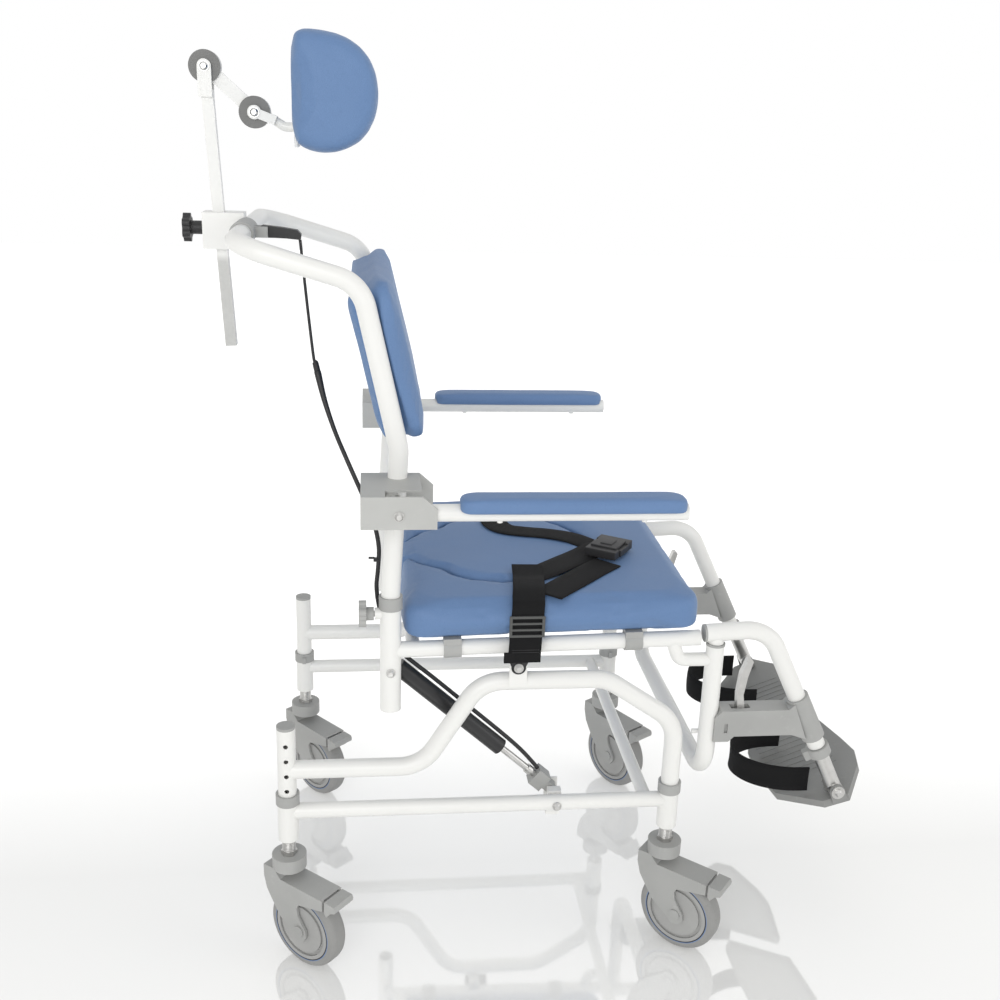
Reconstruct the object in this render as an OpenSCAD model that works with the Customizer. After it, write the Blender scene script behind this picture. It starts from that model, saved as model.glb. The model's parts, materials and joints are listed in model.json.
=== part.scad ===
// Tilting shower commode chair: X forward, Y to the occupant's left, Z up from the floor.

/* [Frame sizes] */
// Distance between the rear and front castor stems
stem_pitch = 540; // [520:5:570]
// Distance between the right and left castor stems
stem_track = 448; // [440:2:470]
// Outer diameter of the leg sleeves and back sockets
sleeve_d = 28.6; // [28.4:0.1:30]
// Outer diameter of the side frame, back frame and hanger tubes
frame_d = 25.4; // [24.6:0.1:25.6]
// Outer diameter of the seat rails and lower rails
rail_d = 22.2; // [20:0.1:23]
// Outer diameter of the braces
brace_d = 19; // [16:0.5:20]
// Wall of the frame tubes
tube_wall = 1.5; // [1.2:0.1:2]
// Gap between a sliding tube and its sleeve
slide_gap = 0.3; // [0.3:0.05:0.4]
// Gap between a pin and its bore
pin_gap = 0.05; // [0.03:0.01:0.08]

/* [Leg heights] */
// Height of the leg sleeves above the floor
sleeve_z = 188.5; // [186:0.5:192]
// Length of the leg sleeves
sleeve_h = 67.5; // [66:0.5:68]
// Height of the lower rails
low_rail_z = 231.5; // [229:0.5:233]
// Height of the middle run of the side frames
mid_rail_z = 296.5; // [296:0.5:300]
// Height of the top run of the side frames
top_rail_z = 425; // [422:1:427]
// Height of the tops of the rear posts
post_top_z = 361; // [350:1:370]
// Pitch of the height adjusting holes
step_pitch = 23; // [20:1:23]

/* [Castors] */
// Wheel radius
wheel_r = 60; // [58:0.5:61]
// Wheel width
wheel_w = 30; // [26:0.5:31]
// Distance from the stem to the axle, along the floor
castor_trail = 34; // [32:1:36]
// Diameter of the stems
stem_d = 18; // [16:0.5:19]
// Thickness of the fork cheeks
cheek_t = 4; // [3.5:0.25:5]
// Diameter of the axles
axle_d = 10; // [8:0.5:11]

/* [Seat] */
// Distance between the seat rails
seat_track = 424; // [420:2:428]
// Distance from the rear stem to the back sockets
socket_x = 141.6; // [139:0.2:143]
// Distance from the rear stem to the tilt pivot
pivot_x = 313; // [308:1:318]
// Height of the tilt pivot
pivot_z = 452; // [450.5:0.5:453]
// Height of the seat rails above the tilt pivot
rail_rise = 21; // [20:0.5:22]
// Slope of the seat rails
rail_slope = 1.4; // [1:0.1:1.6]
// Length of the seat cushion
seat_len = 411; // [400:1:414]
// Width of the seat cushion
seat_w = 460; // [440:2:464]
// Thickness of the seat cushion at its rear edge
seat_t = 43; // [36:1:46]
// Height of the cushion's crown above its edge
seat_crown = 7; // [4:0.5:9]

/* [Back and arms] */
// Height of the push handle
handle_z = 1002.5; // [990:0.5:1010]
// Reach of the push handle behind the rear stem
handle_back = 48; // [40:1:56]
// Height of the arm pivots
arm_z = 688; // [682:1:694]
// Distance from the middle of the chair to the arm tubes
arm_y = 283; // [281:0.5:286]
// Diameter of the arm tubes
arm_d = 22; // [20:0.5:22.5]
// Length of the arm tubes in front of their pivots
arm_len = 365; // [350:5:380]
// Length of the arm pads
arm_pad_len = 288; // [270:2:300]
// Width of the arm pads
arm_pad_w = 44; // [38:1:46]
// Length of the back pad along its slope
back_pad_h = 208; // [200:2:216]
// Thickness of the back pad's front cushion
back_pad_t = 20; // [18:0.5:24]

/* [Headrest] */
// Width of the square headrest bar
bar_w = 15; // [13:0.5:16]
// Width of the head pad
head_pad_w = 250; // [220:5:270]
// Height of the head pad
head_pad_h = 148; // [130:2:150]
// Depth of the head pad
head_pad_t = 106; // [90:2:110]

/* [Footrests] */
// Distance from the rear stem to the footrest swing pins
swing_x = 592; // [591:0.5:594]
// Distance from the rear stem to the footplate hinges
ankle_x = 792; // [785:1:796]
// Height of the footplate hinges
ankle_z = 235; // [230:1:240]
// Toe-up angle of the footplates
toe_up = 21; // [15:1:25]
// Thickness of the footplates
plate_t = 5; // [4:0.5:6]

/* [Gas spring] */
// Diameter of the spring's cylinder
spring_d = 24; // [22:0.5:26]
// Diameter of the spring's rod
spring_rod_d = 10; // [8:0.5:11]

/* [Hidden] */
$fn = 40;

// Colours
paint_white = [0.93, 0.93, 0.91];
plastic_grey = [0.60, 0.61, 0.60];
light_grey = [0.74, 0.75, 0.74];
dark_grey = [0.42, 0.43, 0.42];
vinyl_blue = [0.38, 0.53, 0.75];
web_black = [0.05, 0.05, 0.05];
steel = [0.75, 0.76, 0.77];

// Overrun of every cut past the face it opens
over = 1;
// Gap of parts that seat in each other and do not move
seat_fit = 0.02;
// Gap between faces that move past each other
face_gap = 0.4;

// Named places shared by several pieces
stem_y = stem_track / 2;
seat_y = seat_track / 2;
sleeve_bore = frame_d + 2 * slide_gap;
sleeve_top_z = sleeve_z + sleeve_h;
sides = [-1, 1];

function unit(v) = v / norm(v);
function bend_turn(p, q, r) = acos(min(1, unit(q - p) * unit(r - q)));
function bend_cut(p, q, r, radius) = radius * tan(bend_turn(p, q, r) / 2);

// Straight round bar from one point to another
module bar_between(a, b, d) {
  v = b - a;
  translate(a)
    rotate([0, acos(v.z / norm(v)), atan2(v.y, v.x)])
      cylinder(h = norm(v), d = d);
}

// Round bar through a list of points, bent to one radius at each inner point. The straight runs reach
// a lap into the bends, which are a hair thicker.
bend_lap = 1;
bend_swell = 0.08;

module bent_bar(points, radius, d) {
  last = len(points) - 1;
  cuts = [for (i = [0:last]) i == 0 || i == last ? 0
    : bend_cut(points[i - 1], points[i], points[i + 1], radius) - bend_lap];
  for (i = [1:last]) {
    run = unit(points[i] - points[i - 1]);
    bar_between(points[i - 1] + run * cuts[i - 1], points[i] - run * cuts[i], d);
  }
  for (i = [1:last - 1]) bend_arc(points[i - 1], points[i], points[i + 1], radius, d + bend_swell);
}

// One bend: a ring sector that touches both runs
module bend_arc(p, q, r, radius, d) {
  u = unit(q - p);
  v = unit(r - q);
  n = unit(v - (u * v) * u);
  w = cross(-n, u);
  c = q - u * bend_cut(p, q, r, radius) + n * radius;
  multmatrix([
    [-n.x, u.x, w.x, c.x],
    [-n.y, u.y, w.y, c.y],
    [-n.z, u.z, w.z, c.z],
    [0, 0, 0, 1]])
    rotate_extrude(angle = bend_turn(p, q, r))
      translate([radius, 0]) circle(d = d);
}

// Cylinder along Y from one y to another
module pin_y(x, z, y0, y1, d) {
  translate([x, min(y0, y1), z])
    rotate([-90, 0, 0]) cylinder(h = abs(y1 - y0), d = d);
}

// Cylinder along X from one x to another
module pin_x(y, z, x0, x1, d) {
  translate([min(x0, x1), y, z])
    rotate([0, 90, 0]) cylinder(h = abs(x1 - x0), d = d);
}

// Plate in the XZ plane, from one y to another
module plate_y(points, y0, y1) {
  translate([0, max(y0, y1), 0])
    rotate([90, 0, 0]) linear_extrude(height = abs(y1 - y0)) polygon(points);
}

// Box between two corners
module box(a, b) {
  translate(a) cube(b - a);
}

// Low dome head on a washer, along Y, pointing to the side
module dome_bolt_y(x, z, y, side, head_d, head_h) {
  rim_h = head_h / 3;
  translate([x, y, z])
    rotate([-90 * side, 0, 0]) {
      cylinder(h = rim_h, d = head_d);
      translate([0, 0, rim_h])
        cylinder(h = head_h - rim_h, d1 = head_d * dome_share.x, d2 = head_d * dome_share.y);
    }
}
dome_share = [0.86, 0.5];

// Soft block: a closed outline stacked in levels, each drawn in by its share of the edge radius
module soft_block(outline, height, edge, levels, centre) {
  count = len(outline);
  rings = [for (l = levels)
    [for (p = outline)
      let (q = p - centre, far = norm(q), k = (far - edge * l[0]) / far)
      [centre.x + q.x * k, centre.y + q.y * k, height * l[1]]]];
  points = [for (r = rings) for (p = r) p];
  ends = len(levels) - 1;
  faces = concat(
    [[for (i = [0:count - 1]) i]],
    [for (k = [0:ends - 1]) for (i = [0:count - 1])
      let (a = k * count + i, b = k * count + (i + 1) % count)
      for (tri = [[a, a + count, b], [b, a + count, b + count]]) tri],
    [[for (i = [count - 1:-1:0]) ends * count + i]]);
  polyhedron(points = points, faces = faces, convexity = 4);
}
// Draw-in share and height share of each level, from the base up
soft_levels = [[0.5, 0], [0.15, 0.04], [0, 0.14], [0, 0.62], [0.12, 0.78], [0.45, 0.9], [1, 0.97], [2.6, 1]];

// Rectangle with rounded corners as a list of points
function round_rect(lx, ly, r, steps) = [for (c = [[1, 1, 0], [-1, 1, 90], [-1, -1, 180], [1, -1, 270]])
  for (i = [0:steps])
  [c.x * (lx / 2 - r) + r * cos(c.z + 90 * i / steps), c.y * (ly / 2 - r) + r * sin(c.z + 90 * i / steps)]];

// Base frame: leg sleeves, lower rails, front brace and the spring lug
sleeve_floor_t = 8.5;
brace_back = 33;
brace_x = stem_pitch - brace_back;
lug_x = 376;
lug_pin_d = 8;
lug_slot_gap = 1.5;
lug_t = 3;
lug_edge = 4;
lug_gap = 23;
spring_y = -186;
lug_slot_w = lug_pin_d + 2 * lug_slot_gap;
lug_plate_w = lug_slot_w + 2 * lug_edge;
lug_low_z = low_rail_z - step_pitch;

module base_frame() {
  color(paint_white) {
    difference() {
      union() {
        for (x = [0, stem_pitch], s = sides)
          translate([x, s * stem_y, sleeve_z]) cylinder(h = sleeve_h, d = sleeve_d);
        for (s = sides)
          bar_between([0, s * stem_y, low_rail_z], [stem_pitch, s * stem_y, low_rail_z], rail_d);
        bar_between([brace_x, -stem_y, low_rail_z], [brace_x, stem_y, low_rail_z], brace_d);
      }
      for (x = [0, stem_pitch], s = sides)
        translate([x, s * stem_y, sleeve_z]) {
          translate([0, 0, sleeve_floor_t]) cylinder(h = sleeve_h, d = sleeve_bore);
          translate([0, 0, -over]) cylinder(h = sleeve_h, d = stem_d + 2 * seat_fit);
        }
      for (s = sides)
        bar_between(
          [sleeve_d / 2 + over, s * stem_y, low_rail_z],
          [stem_pitch - sleeve_d / 2 - over, s * stem_y, low_rail_z], rail_d - 2 * tube_wall);
      bar_between(
        [brace_x, -stem_y + rail_d / 2 + over, low_rail_z],
        [brace_x, stem_y - rail_d / 2 - over, low_rail_z], brace_d - 2 * tube_wall);
      pin_y(lug_x, low_rail_z, -stem_y - rail_d, -stem_y + rail_d, lug_bolt_d + 2 * seat_fit);
    }
    spring_lug();
  }
}
lug_bolt_d = 6;

// Two cheeks on a foot that is bolted to the right lower rail; the slot follows the height steps
module spring_lug() {
  back_y = -stem_y + rail_d / 2;
  slot_reach = lug_gap / 2 + lug_t + face_gap;
  foot_z = lug_low_z - lug_slot_w / 2 - lug_edge;
  cheek_y = spring_y - lug_gap / 2 - lug_t;
  difference() {
    union() {
      for (s = sides)
        box([lug_x - lug_plate_w / 2, spring_y + s * (lug_gap + lug_t) / 2 - lug_t / 2, foot_z],
            [lug_x + lug_plate_w / 2, spring_y + s * (lug_gap + lug_t) / 2 + lug_t / 2,
              low_rail_z + lug_slot_w / 2 + lug_edge]);
      box([lug_x - lug_plate_w / 2, back_y, low_rail_z - rail_d / 2],
          [lug_x + lug_plate_w / 2, cheek_y + seat_fit, low_rail_z + rail_d / 2]);
      box([lug_x - lug_plate_w / 2, cheek_y, foot_z - lug_t],
          [lug_x + lug_plate_w / 2, spring_y + lug_gap / 2 + lug_t, foot_z]);
    }
    for (z = [low_rail_z, lug_low_z])
      pin_y(lug_x, z, spring_y - slot_reach, spring_y + slot_reach, lug_slot_w);
    box([lug_x - lug_slot_w / 2, spring_y - slot_reach, lug_low_z],
        [lug_x + lug_slot_w / 2, spring_y + slot_reach, low_rail_z]);
    pin_y(lug_x, low_rail_z, back_y - over, spring_y, lug_bolt_d + 2 * seat_fit);
  }
}

// Grey collars that guide the legs into the sleeves
collar_wall = 2;
collar_lip = 4.5;
collar_drop = 11;
collar_gap = 0.35;
tab_size = 6;

module sleeve_collars() {
  color(plastic_grey)
    for (x = [0, stem_pitch], s = sides)
      translate([x, s * stem_y, sleeve_top_z])
        difference() {
          union() {
            translate([0, 0, -collar_drop])
              cylinder(h = collar_drop + collar_lip, d = sleeve_d + 2 * collar_wall);
            translate([-tab_size / 2, -s * (sleeve_d / 2 + collar_wall) - tab_size / 2, -collar_drop])
              cube([tab_size, tab_size, collar_drop]);
          }
          translate([0, 0, -collar_drop - over])
            cylinder(h = collar_drop + over, d = sleeve_d + 2 * seat_fit);
          translate([0, 0, -over])
            cylinder(h = collar_lip + 2 * over, d = frame_d + 2 * collar_gap);
        }
}

// Castor stems, sleeve screws and the lug bolt
cap_h = 20;
cap_z = 144;
stem_end = 14;
screw_d = 7;
screw_h = 2;
bolt_head_d = 13;
bolt_head_h = 5;

module base_fixings() {
  color(steel) {
    for (x = [0, stem_pitch], s = sides) {
      translate([x, s * stem_y, cap_z + cap_h - stem_end])
        cylinder(h = sleeve_z + sleeve_floor_t - (cap_z + cap_h - stem_end), d = stem_d);
      translate([x, s * stem_y, cap_z + cap_h + face_gap])
        cylinder(h = stem_nut_h, d = stem_d * stem_nut_share, $fn = 6);
    }
    pin_y(lug_x, low_rail_z, -stem_y - rail_d / 2, spring_y - lug_gap / 2 - lug_t, lug_bolt_d);
    dome_bolt_y(lug_x, low_rail_z, -stem_y - rail_d / 2, -1, bolt_head_d, bolt_head_h);
  }
}
stem_nut_h = 5;
stem_nut_share = 1.3;

// Castors
castor_rr = [0, -1, 40];
castor_rl = [0, 1, 48];
castor_fr = [1, -1, 40];
castor_fl = [1, 1, 56];
wheel_gap = 1;
cap_d = 48;
fork_w = wheel_w + 2 * wheel_gap + 2 * cheek_t;
// Fork side view: along the trail and up, as shares of the wheel radius, from the axle
fork_shares = [
  [-1.083, 1.4], [-1.083, 1.1], [-1, 0.775], [-0.85, 0.533], [-0.617, 0.183], [-0.39, 0.01],
  [-0.25, -0.1], [-0.073, -0.267], [0.1, -0.25], [0.213, -0.1], [0.2, 0.05], [0.083, 0.225],
  [-0.03, 0.4], [-0.06, 0.6], [-0.005, 0.71], [0.245, 0.767], [0.733, 0.867], [0.733, 1.14], [-0.567, 1.183],
  [-0.75, 1.4]];
brake_pivot_share = [0.6, 0.99];
brake_pin_d = 4;
brake_gap = 1;
brake_w = wheel_w - 2 * brake_gap;
brake_pedal_shares = [
  [0.785, 0.83], [0.84, 0.75], [0.96, 0.9], [1.1, 0.96], [1.117, 1.04], [1.083, 1.117], [0.785, 1.13]];
brake_tongue_shares = [[0.47, 1.09], [0.47, 0.93], [0.56, 0.87], [0.8, 0.83], [0.8, 1.09]];

function trail_points(shares) = [for (p = shares) [castor_trail + wheel_r * p.x, wheel_r + wheel_r * p.y]];
brake_pivot = trail_points([brake_pivot_share])[0];

module castor_place(c) {
  translate([c.x * stem_pitch, c.y * stem_y, 0]) rotate([0, 0, -c.z]) children();
}

module castor_fork(c) {
  color(plastic_grey)
    castor_place(c) {
      difference() {
        union() {
          plate_y(trail_points(fork_shares), -fork_w / 2, fork_w / 2);
          translate([0, 0, cap_z]) cylinder(h = cap_h, d = cap_d);
          pin_y(castor_trail, wheel_r, -fork_w / 2 - axle_head_t, fork_w / 2 + axle_head_t, axle_head_d);
        }
        pin_y(castor_trail, wheel_r, -wheel_w / 2 - wheel_gap, wheel_w / 2 + wheel_gap,
          2 * (wheel_r + wheel_gap * 2));
        translate([0, 0, cap_z + cap_h - stem_end - face_gap])
          cylinder(h = stem_end + over, d = stem_d + 2 * pin_gap);
        box([castor_trail + wheel_r * brake_slot_share.x, -brake_w / 2 - brake_gap, wheel_r],
            [castor_trail + wheel_r * brake_slot_share.y, brake_w / 2 + brake_gap, wheel_r * brake_slot_share.z]);
      }
      pin_y(castor_trail, wheel_r, -fork_w / 2, fork_w / 2, axle_d);
      pin_y(brake_pivot.x, brake_pivot.y, -fork_w / 2, fork_w / 2, brake_pin_d);
    }
}
axle_head_d = 16;
axle_head_t = 2;
brake_slot_share = [0.44, 0.85, 2.14];

// Wheel section: half width against radius, with rounded tread and a groove on each face
tread_r = 9;
groove_in_r = 36;
groove_w = 5;
groove_deep = 3;
wheel_arc_steps = 4;
function tread_arc(start) = [for (i = [0:wheel_arc_steps]) let (a = start + 90 * i / wheel_arc_steps)
  [wheel_r - tread_r + tread_r * cos(a), (start < 0 ? -1 : 1) * (wheel_w / 2 - tread_r) + tread_r * sin(a)]];

module castor_wheel(c) {
  bore_r = axle_d / 2 + pin_gap;
  half = wheel_w / 2;
  groove = [groove_in_r, groove_in_r + groove_w];
  color(light_grey)
    castor_place(c)
      translate([castor_trail, 0, wheel_r])
        rotate([90, 0, 0])
          rotate_extrude($fn = 60)
            polygon(concat(
              [[bore_r, -half], [groove[0], -half], [groove[0], -half + groove_deep],
                [groove[1], -half + groove_deep], [groove[1], -half]],
              tread_arc(-90),
              tread_arc(0),
              [[groove[1], half], [groove[1], half - groove_deep],
                [groove[0], half - groove_deep], [groove[0], half], [bore_r, half]]));
}

module castor_brake(c) {
  color(plastic_grey)
    castor_place(c)
      difference() {
        union() {
          plate_y(trail_points(brake_pedal_shares), -fork_w / 2 + brake_gap, fork_w / 2 - brake_gap);
          plate_y(trail_points(brake_tongue_shares), -brake_w / 2, brake_w / 2);
        }
        pin_y(brake_pivot.x, brake_pivot.y, -fork_w, fork_w, brake_pin_d + 2 * pin_gap);
        pin_y(castor_trail, wheel_r, -fork_w, fork_w, 2 * (wheel_r + wheel_gap));
      }
}

// Side frames
side_bend_r = 55;
low_knee_x = 185;
high_knee_x = 264;
brow_x = 437.5;
front_knee_z = 356;
foot_z = 221;
hole_d = 6.5;
hole_top = 22.5;
hole_count = 4;
tab_t = 4;
tab_r = 12;
tab_bite = 2.7;
tab_foot = 3;
tab_face = stem_y + frame_d / 2 + tab_t - tab_bite;
pivot_bolt_d = 8;

function side_path(s) = [
  [0, s * stem_y, mid_rail_z], [low_knee_x, s * stem_y, mid_rail_z], [high_knee_x, s * stem_y, top_rail_z],
  [brow_x, s * stem_y, top_rail_z], [stem_pitch, s * stem_y, front_knee_z], [stem_pitch, s * stem_y, foot_z]];
function side_bore_path(s) = [
  [frame_d / 2 + over, s * stem_y, mid_rail_z], [low_knee_x, s * stem_y, mid_rail_z],
  [high_knee_x, s * stem_y, top_rail_z], [brow_x, s * stem_y, top_rail_z],
  [stem_pitch, s * stem_y, front_knee_z], [stem_pitch, s * stem_y, foot_z - over]];

module side_frames() {
  color(paint_white)
    for (s = sides)
      difference() {
        union() {
          translate([0, s * stem_y, foot_z]) cylinder(h = post_top_z - foot_z, d = frame_d);
          bent_bar(side_path(s), side_bend_r, frame_d);
          difference() {
            union() {
              pin_y(pivot_x, pivot_z, s * (tab_face - tab_t), s * tab_face, 2 * tab_r);
              plate_y([[pivot_x - tab_r, top_rail_z - tab_foot], [pivot_x + tab_r, top_rail_z - tab_foot],
                [pivot_x + tab_r, pivot_z], [pivot_x - tab_r, pivot_z]],
                s * (tab_face - tab_t), s * tab_face);
            }
          }
        }
        translate([0, s * stem_y, foot_z - over])
          cylinder(h = post_top_z - foot_z + 2 * over, d = frame_d - 2 * tube_wall);
        bent_bar(side_bore_path(s), side_bend_r, frame_d - 2 * tube_wall);
        pin_y(pivot_x, pivot_z, s * (stem_y - frame_d), s * (tab_face + over), pivot_bolt_d + 2 * seat_fit);
        for (i = [0:hole_count - 1])
          pin_y(0, post_top_z - hole_top - i * step_pitch, s * stem_y, s * (stem_y + frame_d), hole_d);
      }
}

// Caps in the tops of the rear posts
cap_top_h = 4;
cap_plug_h = 12;

module post_caps() {
  color(plastic_grey)
    for (s = sides)
      translate([0, s * stem_y, post_top_z]) {
        cylinder(h = cap_top_h, d = frame_d);
        translate([0, 0, -cap_plug_h]) cylinder(h = cap_plug_h, d = frame_d - 2 * tube_wall - 2 * seat_fit);
      }
}

// Tilt pivot bolts, with the spacers between tab and seat lug
lug_out_y = 216;
lug_in_y = 204;
spacer_d = 14;
nut_h = 5;
anchor_t = 2;
anchor_face = tab_face + face_gap + anchor_t;

module pivot_bolts() {
  color(steel)
    for (s = sides) {
      pin_y(pivot_x, pivot_z, s * (lug_in_y - nut_h - face_gap), s * (anchor_face + face_gap), pivot_bolt_d);
      dome_bolt_y(pivot_x, pivot_z, s * (anchor_face + face_gap), s, bolt_head_d, bolt_head_h);
      pin_y(pivot_x, pivot_z, s * (lug_out_y + face_gap), s * (tab_face - tab_t), spacer_d);
      pin_y(pivot_x, pivot_z, s * (lug_in_y - nut_h - face_gap), s * (lug_in_y - face_gap), spacer_d);
    }
}

// Seat frame
socket_foot_z = 381;
socket_h = 160;
socket_top_z = socket_foot_z + socket_h;
rail_end_x = 568.5;
leg_top_z = 468;
leg_foot_z = 262;
leg_bend_r = 45;
lug_r = 10;
gusset_rail_x = 529;
gusset_knee_x = 541;
gusset_z = 446;
gusset_bend_r = 14;
knob_z = 522.3;
knob_boss_len = 7;
knob_boss_d = 16;
knob_stem_d = 8;
spring_a = [socket_x, spring_y, 441];
spring_bolt_d = 8;
cross_x = 172;
swing_bore_d = 20;
swing_pin_d = 16;
stud_z = 328;
stud_d = 7;
stud_in = 9;
stud_len = 20;

function rail_z(x) = pivot_z + rail_rise + (x - pivot_x) * tan(rail_slope);
function rail_at(x, s) = [x, s * seat_y, rail_z(x)];

function leg_path(top_z) = [
  [swing_x, -seat_y, top_z], [swing_x, -seat_y, leg_foot_z],
  [swing_x, seat_y, leg_foot_z], [swing_x, seat_y, top_z]];

module seat_frame() {
  color(paint_white)
    difference() {
      union() {
        for (s = sides) {
          translate([socket_x, s * seat_y, socket_foot_z]) cylinder(h = socket_h, d = sleeve_d);
          bar_between(rail_at(socket_x, s), rail_at(rail_end_x, s), rail_d);
          bent_bar([[gusset_rail_x, s * seat_y, rail_z(gusset_rail_x)], [gusset_knee_x, s * seat_y, gusset_z],
            [swing_x, s * seat_y, gusset_z]], gusset_bend_r, brace_d);
          pin_x(s * seat_y, knob_z, socket_x - sleeve_d / 2 - knob_boss_len, socket_x, knob_boss_d);
          tilt_lug(s);
          pin_x(s * (seat_y - stud_in), stud_z, swing_x - stud_len, swing_x, stud_d);
        }
        bent_bar(leg_path(leg_top_z), leg_bend_r, frame_d);
        bar_between([cross_x, -seat_y, rail_z(cross_x)], [cross_x, seat_y, rail_z(cross_x)], brace_d);
      }
      bent_bar(leg_path(leg_top_z - leg_bore_h + over), leg_bend_r, frame_d - 2 * tube_wall);
      for (s = sides) {
        translate([socket_x, s * seat_y, socket_foot_z - over])
          cylinder(h = socket_h + 2 * over, d = sleeve_bore);
        translate([swing_x, s * seat_y, leg_top_z - leg_bore_h])
          cylinder(h = leg_bore_h + over, d = swing_bore_d);
        pin_x(s * seat_y, knob_z, socket_x - sleeve_d - knob_boss_len, socket_x, knob_stem_d + 2 * pin_gap);
        pin_y(spring_a.x, spring_a.z, s * (seat_y - sleeve_d), s * (seat_y + sleeve_d),
          spring_bolt_d + 2 * seat_fit);
        pin_y(pivot_x, pivot_z, s * (lug_in_y - over), s * (lug_out_y + over), pivot_bolt_d + 2 * pin_gap);
        bar_between(rail_at(socket_x + sleeve_d / 2 + over, s), rail_at(rail_end_x + over, s),
          rail_d - 2 * tube_wall);
      }
    }
}
leg_bore_h = 60;

module tilt_lug(s) {
  pin_y(pivot_x, pivot_z, s * lug_in_y, s * lug_out_y, 2 * lug_r);
  box([pivot_x - lug_r, min(s * lug_in_y, s * lug_out_y), pivot_z],
      [pivot_x + lug_r, max(s * lug_in_y, s * lug_out_y), pivot_z + rail_rise]);
}

// Grey rings in the sockets, bushes in the front legs and the cushion's clips on the rails
ring_h = 18;
ring_lip = 1.5;
ring_drop = 11;
clip_w = 24;
clip_t = 2.5;
// Places of the clips, as shares of the rail between the socket and the swing pin
clip_shares = [0.185, 0.737];
bush_lip = 3;
bush_lip_d = 27;
cushion_rear_x = 157;

module frame_bushes() {
  color(plastic_grey)
    for (s = sides) {
      translate([socket_x, s * seat_y, socket_top_z - ring_drop])
        difference() {
          cylinder(h = ring_h, d = sleeve_d + 2 * ring_lip);
          translate([0, 0, -over]) cylinder(h = ring_drop + over, d = sleeve_d + 2 * seat_fit);
          translate([0, 0, -over]) cylinder(h = ring_h + 2 * over, d = frame_d + 2 * slide_gap);
        }
      translate([swing_x, s * seat_y, leg_top_z])
        difference() {
          union() {
            translate([0, 0, -leg_bore_h]) cylinder(h = leg_bore_h, d = swing_bore_d - 2 * seat_fit);
            cylinder(h = bush_lip, d = bush_lip_d);
          }
          translate([0, 0, -leg_bore_h - over])
            cylinder(h = leg_bore_h + bush_lip + 2 * over, d = swing_pin_d + 2 * pin_gap);
        }
      for (share = clip_shares) rail_clip(socket_x + (swing_x - socket_x) * share, s);
    }
}

// Saddle over a rail, reaching up to the cushion's base
module rail_clip(x, s) {
  z = rail_z(x);
  translate([x, s * seat_y, z])
    rotate([0, -rail_slope, 0])
      difference() {
        union() {
          rotate([0, 90, 0]) translate([0, 0, -clip_w / 2]) cylinder(h = clip_w, d = rail_d + 2 * clip_t);
          translate([-clip_w / 2, -rail_d / 2, 0]) cube([clip_w, rail_d, rail_d / 2 + cushion_lift]);
        }
        rotate([0, 90, 0]) translate([0, 0, -clip_w]) cylinder(h = 2 * clip_w, d = rail_d + 2 * seat_fit);
      }
}
cushion_lift = 5.8;

// Lower socket bolts; the right one carries the gas spring's eye
spring_eye_w = 12;

module seat_fixings() {
  inner = [spring_y + spring_eye_w / 2 + nut_h + face_gap, -(seat_y - sleeve_d / 2 - nut_h)];
  color(steel) {
    pin_y(spring_a.x, spring_a.z, -seat_y - sleeve_d / 2, inner[0], spring_bolt_d);
    pin_y(spring_a.x, spring_a.z, inner[0] - nut_h, inner[0], spacer_d);
    pin_y(spring_a.x, spring_a.z, -seat_y + sleeve_d / 2, spring_y - spring_eye_w / 2 - face_gap, spacer_d);
    pin_y(spring_a.x, spring_a.z, seat_y + sleeve_d / 2, -inner[1], spring_bolt_d);
    for (s = sides)
      dome_bolt_y(spring_a.x, spring_a.z, s * (seat_y + sleeve_d / 2), s, bolt_head_d, bolt_head_h);
  }
}

// Star knobs that clamp the back tubes
star_d = 38;
star_t = 10;
star_lobes = 6;
star_hub_d = 18;
star_hub_h = 10;
star_lobe_share = 0.3;
knob_gap = 1;

module star_knob(hub_h, stem_len, stem_d) {
  translate([0, 0, star_t + hub_h]) cylinder(h = stem_len, d = stem_d);
  translate([0, 0, star_t]) cylinder(h = hub_h, d = star_hub_d);
  cylinder(h = star_t, d = star_d * star_core_share);
  for (i = [0:star_lobes - 1])
    rotate([0, 0, i * 360 / star_lobes])
      translate([star_d * (1 - star_lobe_share) / 2, 0, 0])
        cylinder(h = star_t, d = star_d * star_lobe_share);
}
star_core_share = 0.82;

module back_knob(s) {
  boss_x = socket_x - sleeve_d / 2 - knob_boss_len - knob_gap;
  reach = knob_gap + knob_boss_len + (sleeve_d - frame_d) / 2 - slide_gap;
  color(plastic_grey)
    translate([boss_x - star_t - star_hub_h, s * seat_y, knob_z])
      rotate([0, 90, 0]) star_knob(star_hub_h, reach, knob_stem_d);
}

// Seat cushion and its lift-out infill
cushion_z0 = 486.5;
cushion_r = 30;
cushion_steps = 5;
seat_edge = 10;
infill_gap = 1;
// Half outline of the aperture: share of the cushion's length and of its half width
aperture_shares = [
  [-0.03, 0.12], [0.024, 0.157], [0.078, 0.296], [0.153, 0.383], [0.192, 0.487], [0.258, 0.57],
  [0.375, 0.62], [0.46, 0.61], [0.56, 0.52], [0.64, 0.38], [0.69, 0.2], [0.705, 0.07]];
aperture_widest_share = 0.4;
function aperture(shrink) = let (
  half = [for (p = aperture_shares)
    [p.x * seat_len + (p.x < aperture_widest_share ? shrink : -shrink), p.y * seat_w / 2 - shrink]])
  concat([for (p = half) [p.x, -p.y]], [for (i = [len(half) - 1:-1:0]) half[i]]);

module cushion_place() {
  translate([cushion_rear_x, 0, cushion_z0]) rotate([0, -rail_slope, 0]) children();
}

module cushion_shape(crown) {
  centre = [seat_len / 2, 0];
  outline = [for (p = round_rect(seat_len, seat_w, cushion_r, cushion_steps)) p + centre];
  soft_block(outline, seat_t + crown, seat_edge, soft_levels, centre);
}

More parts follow.
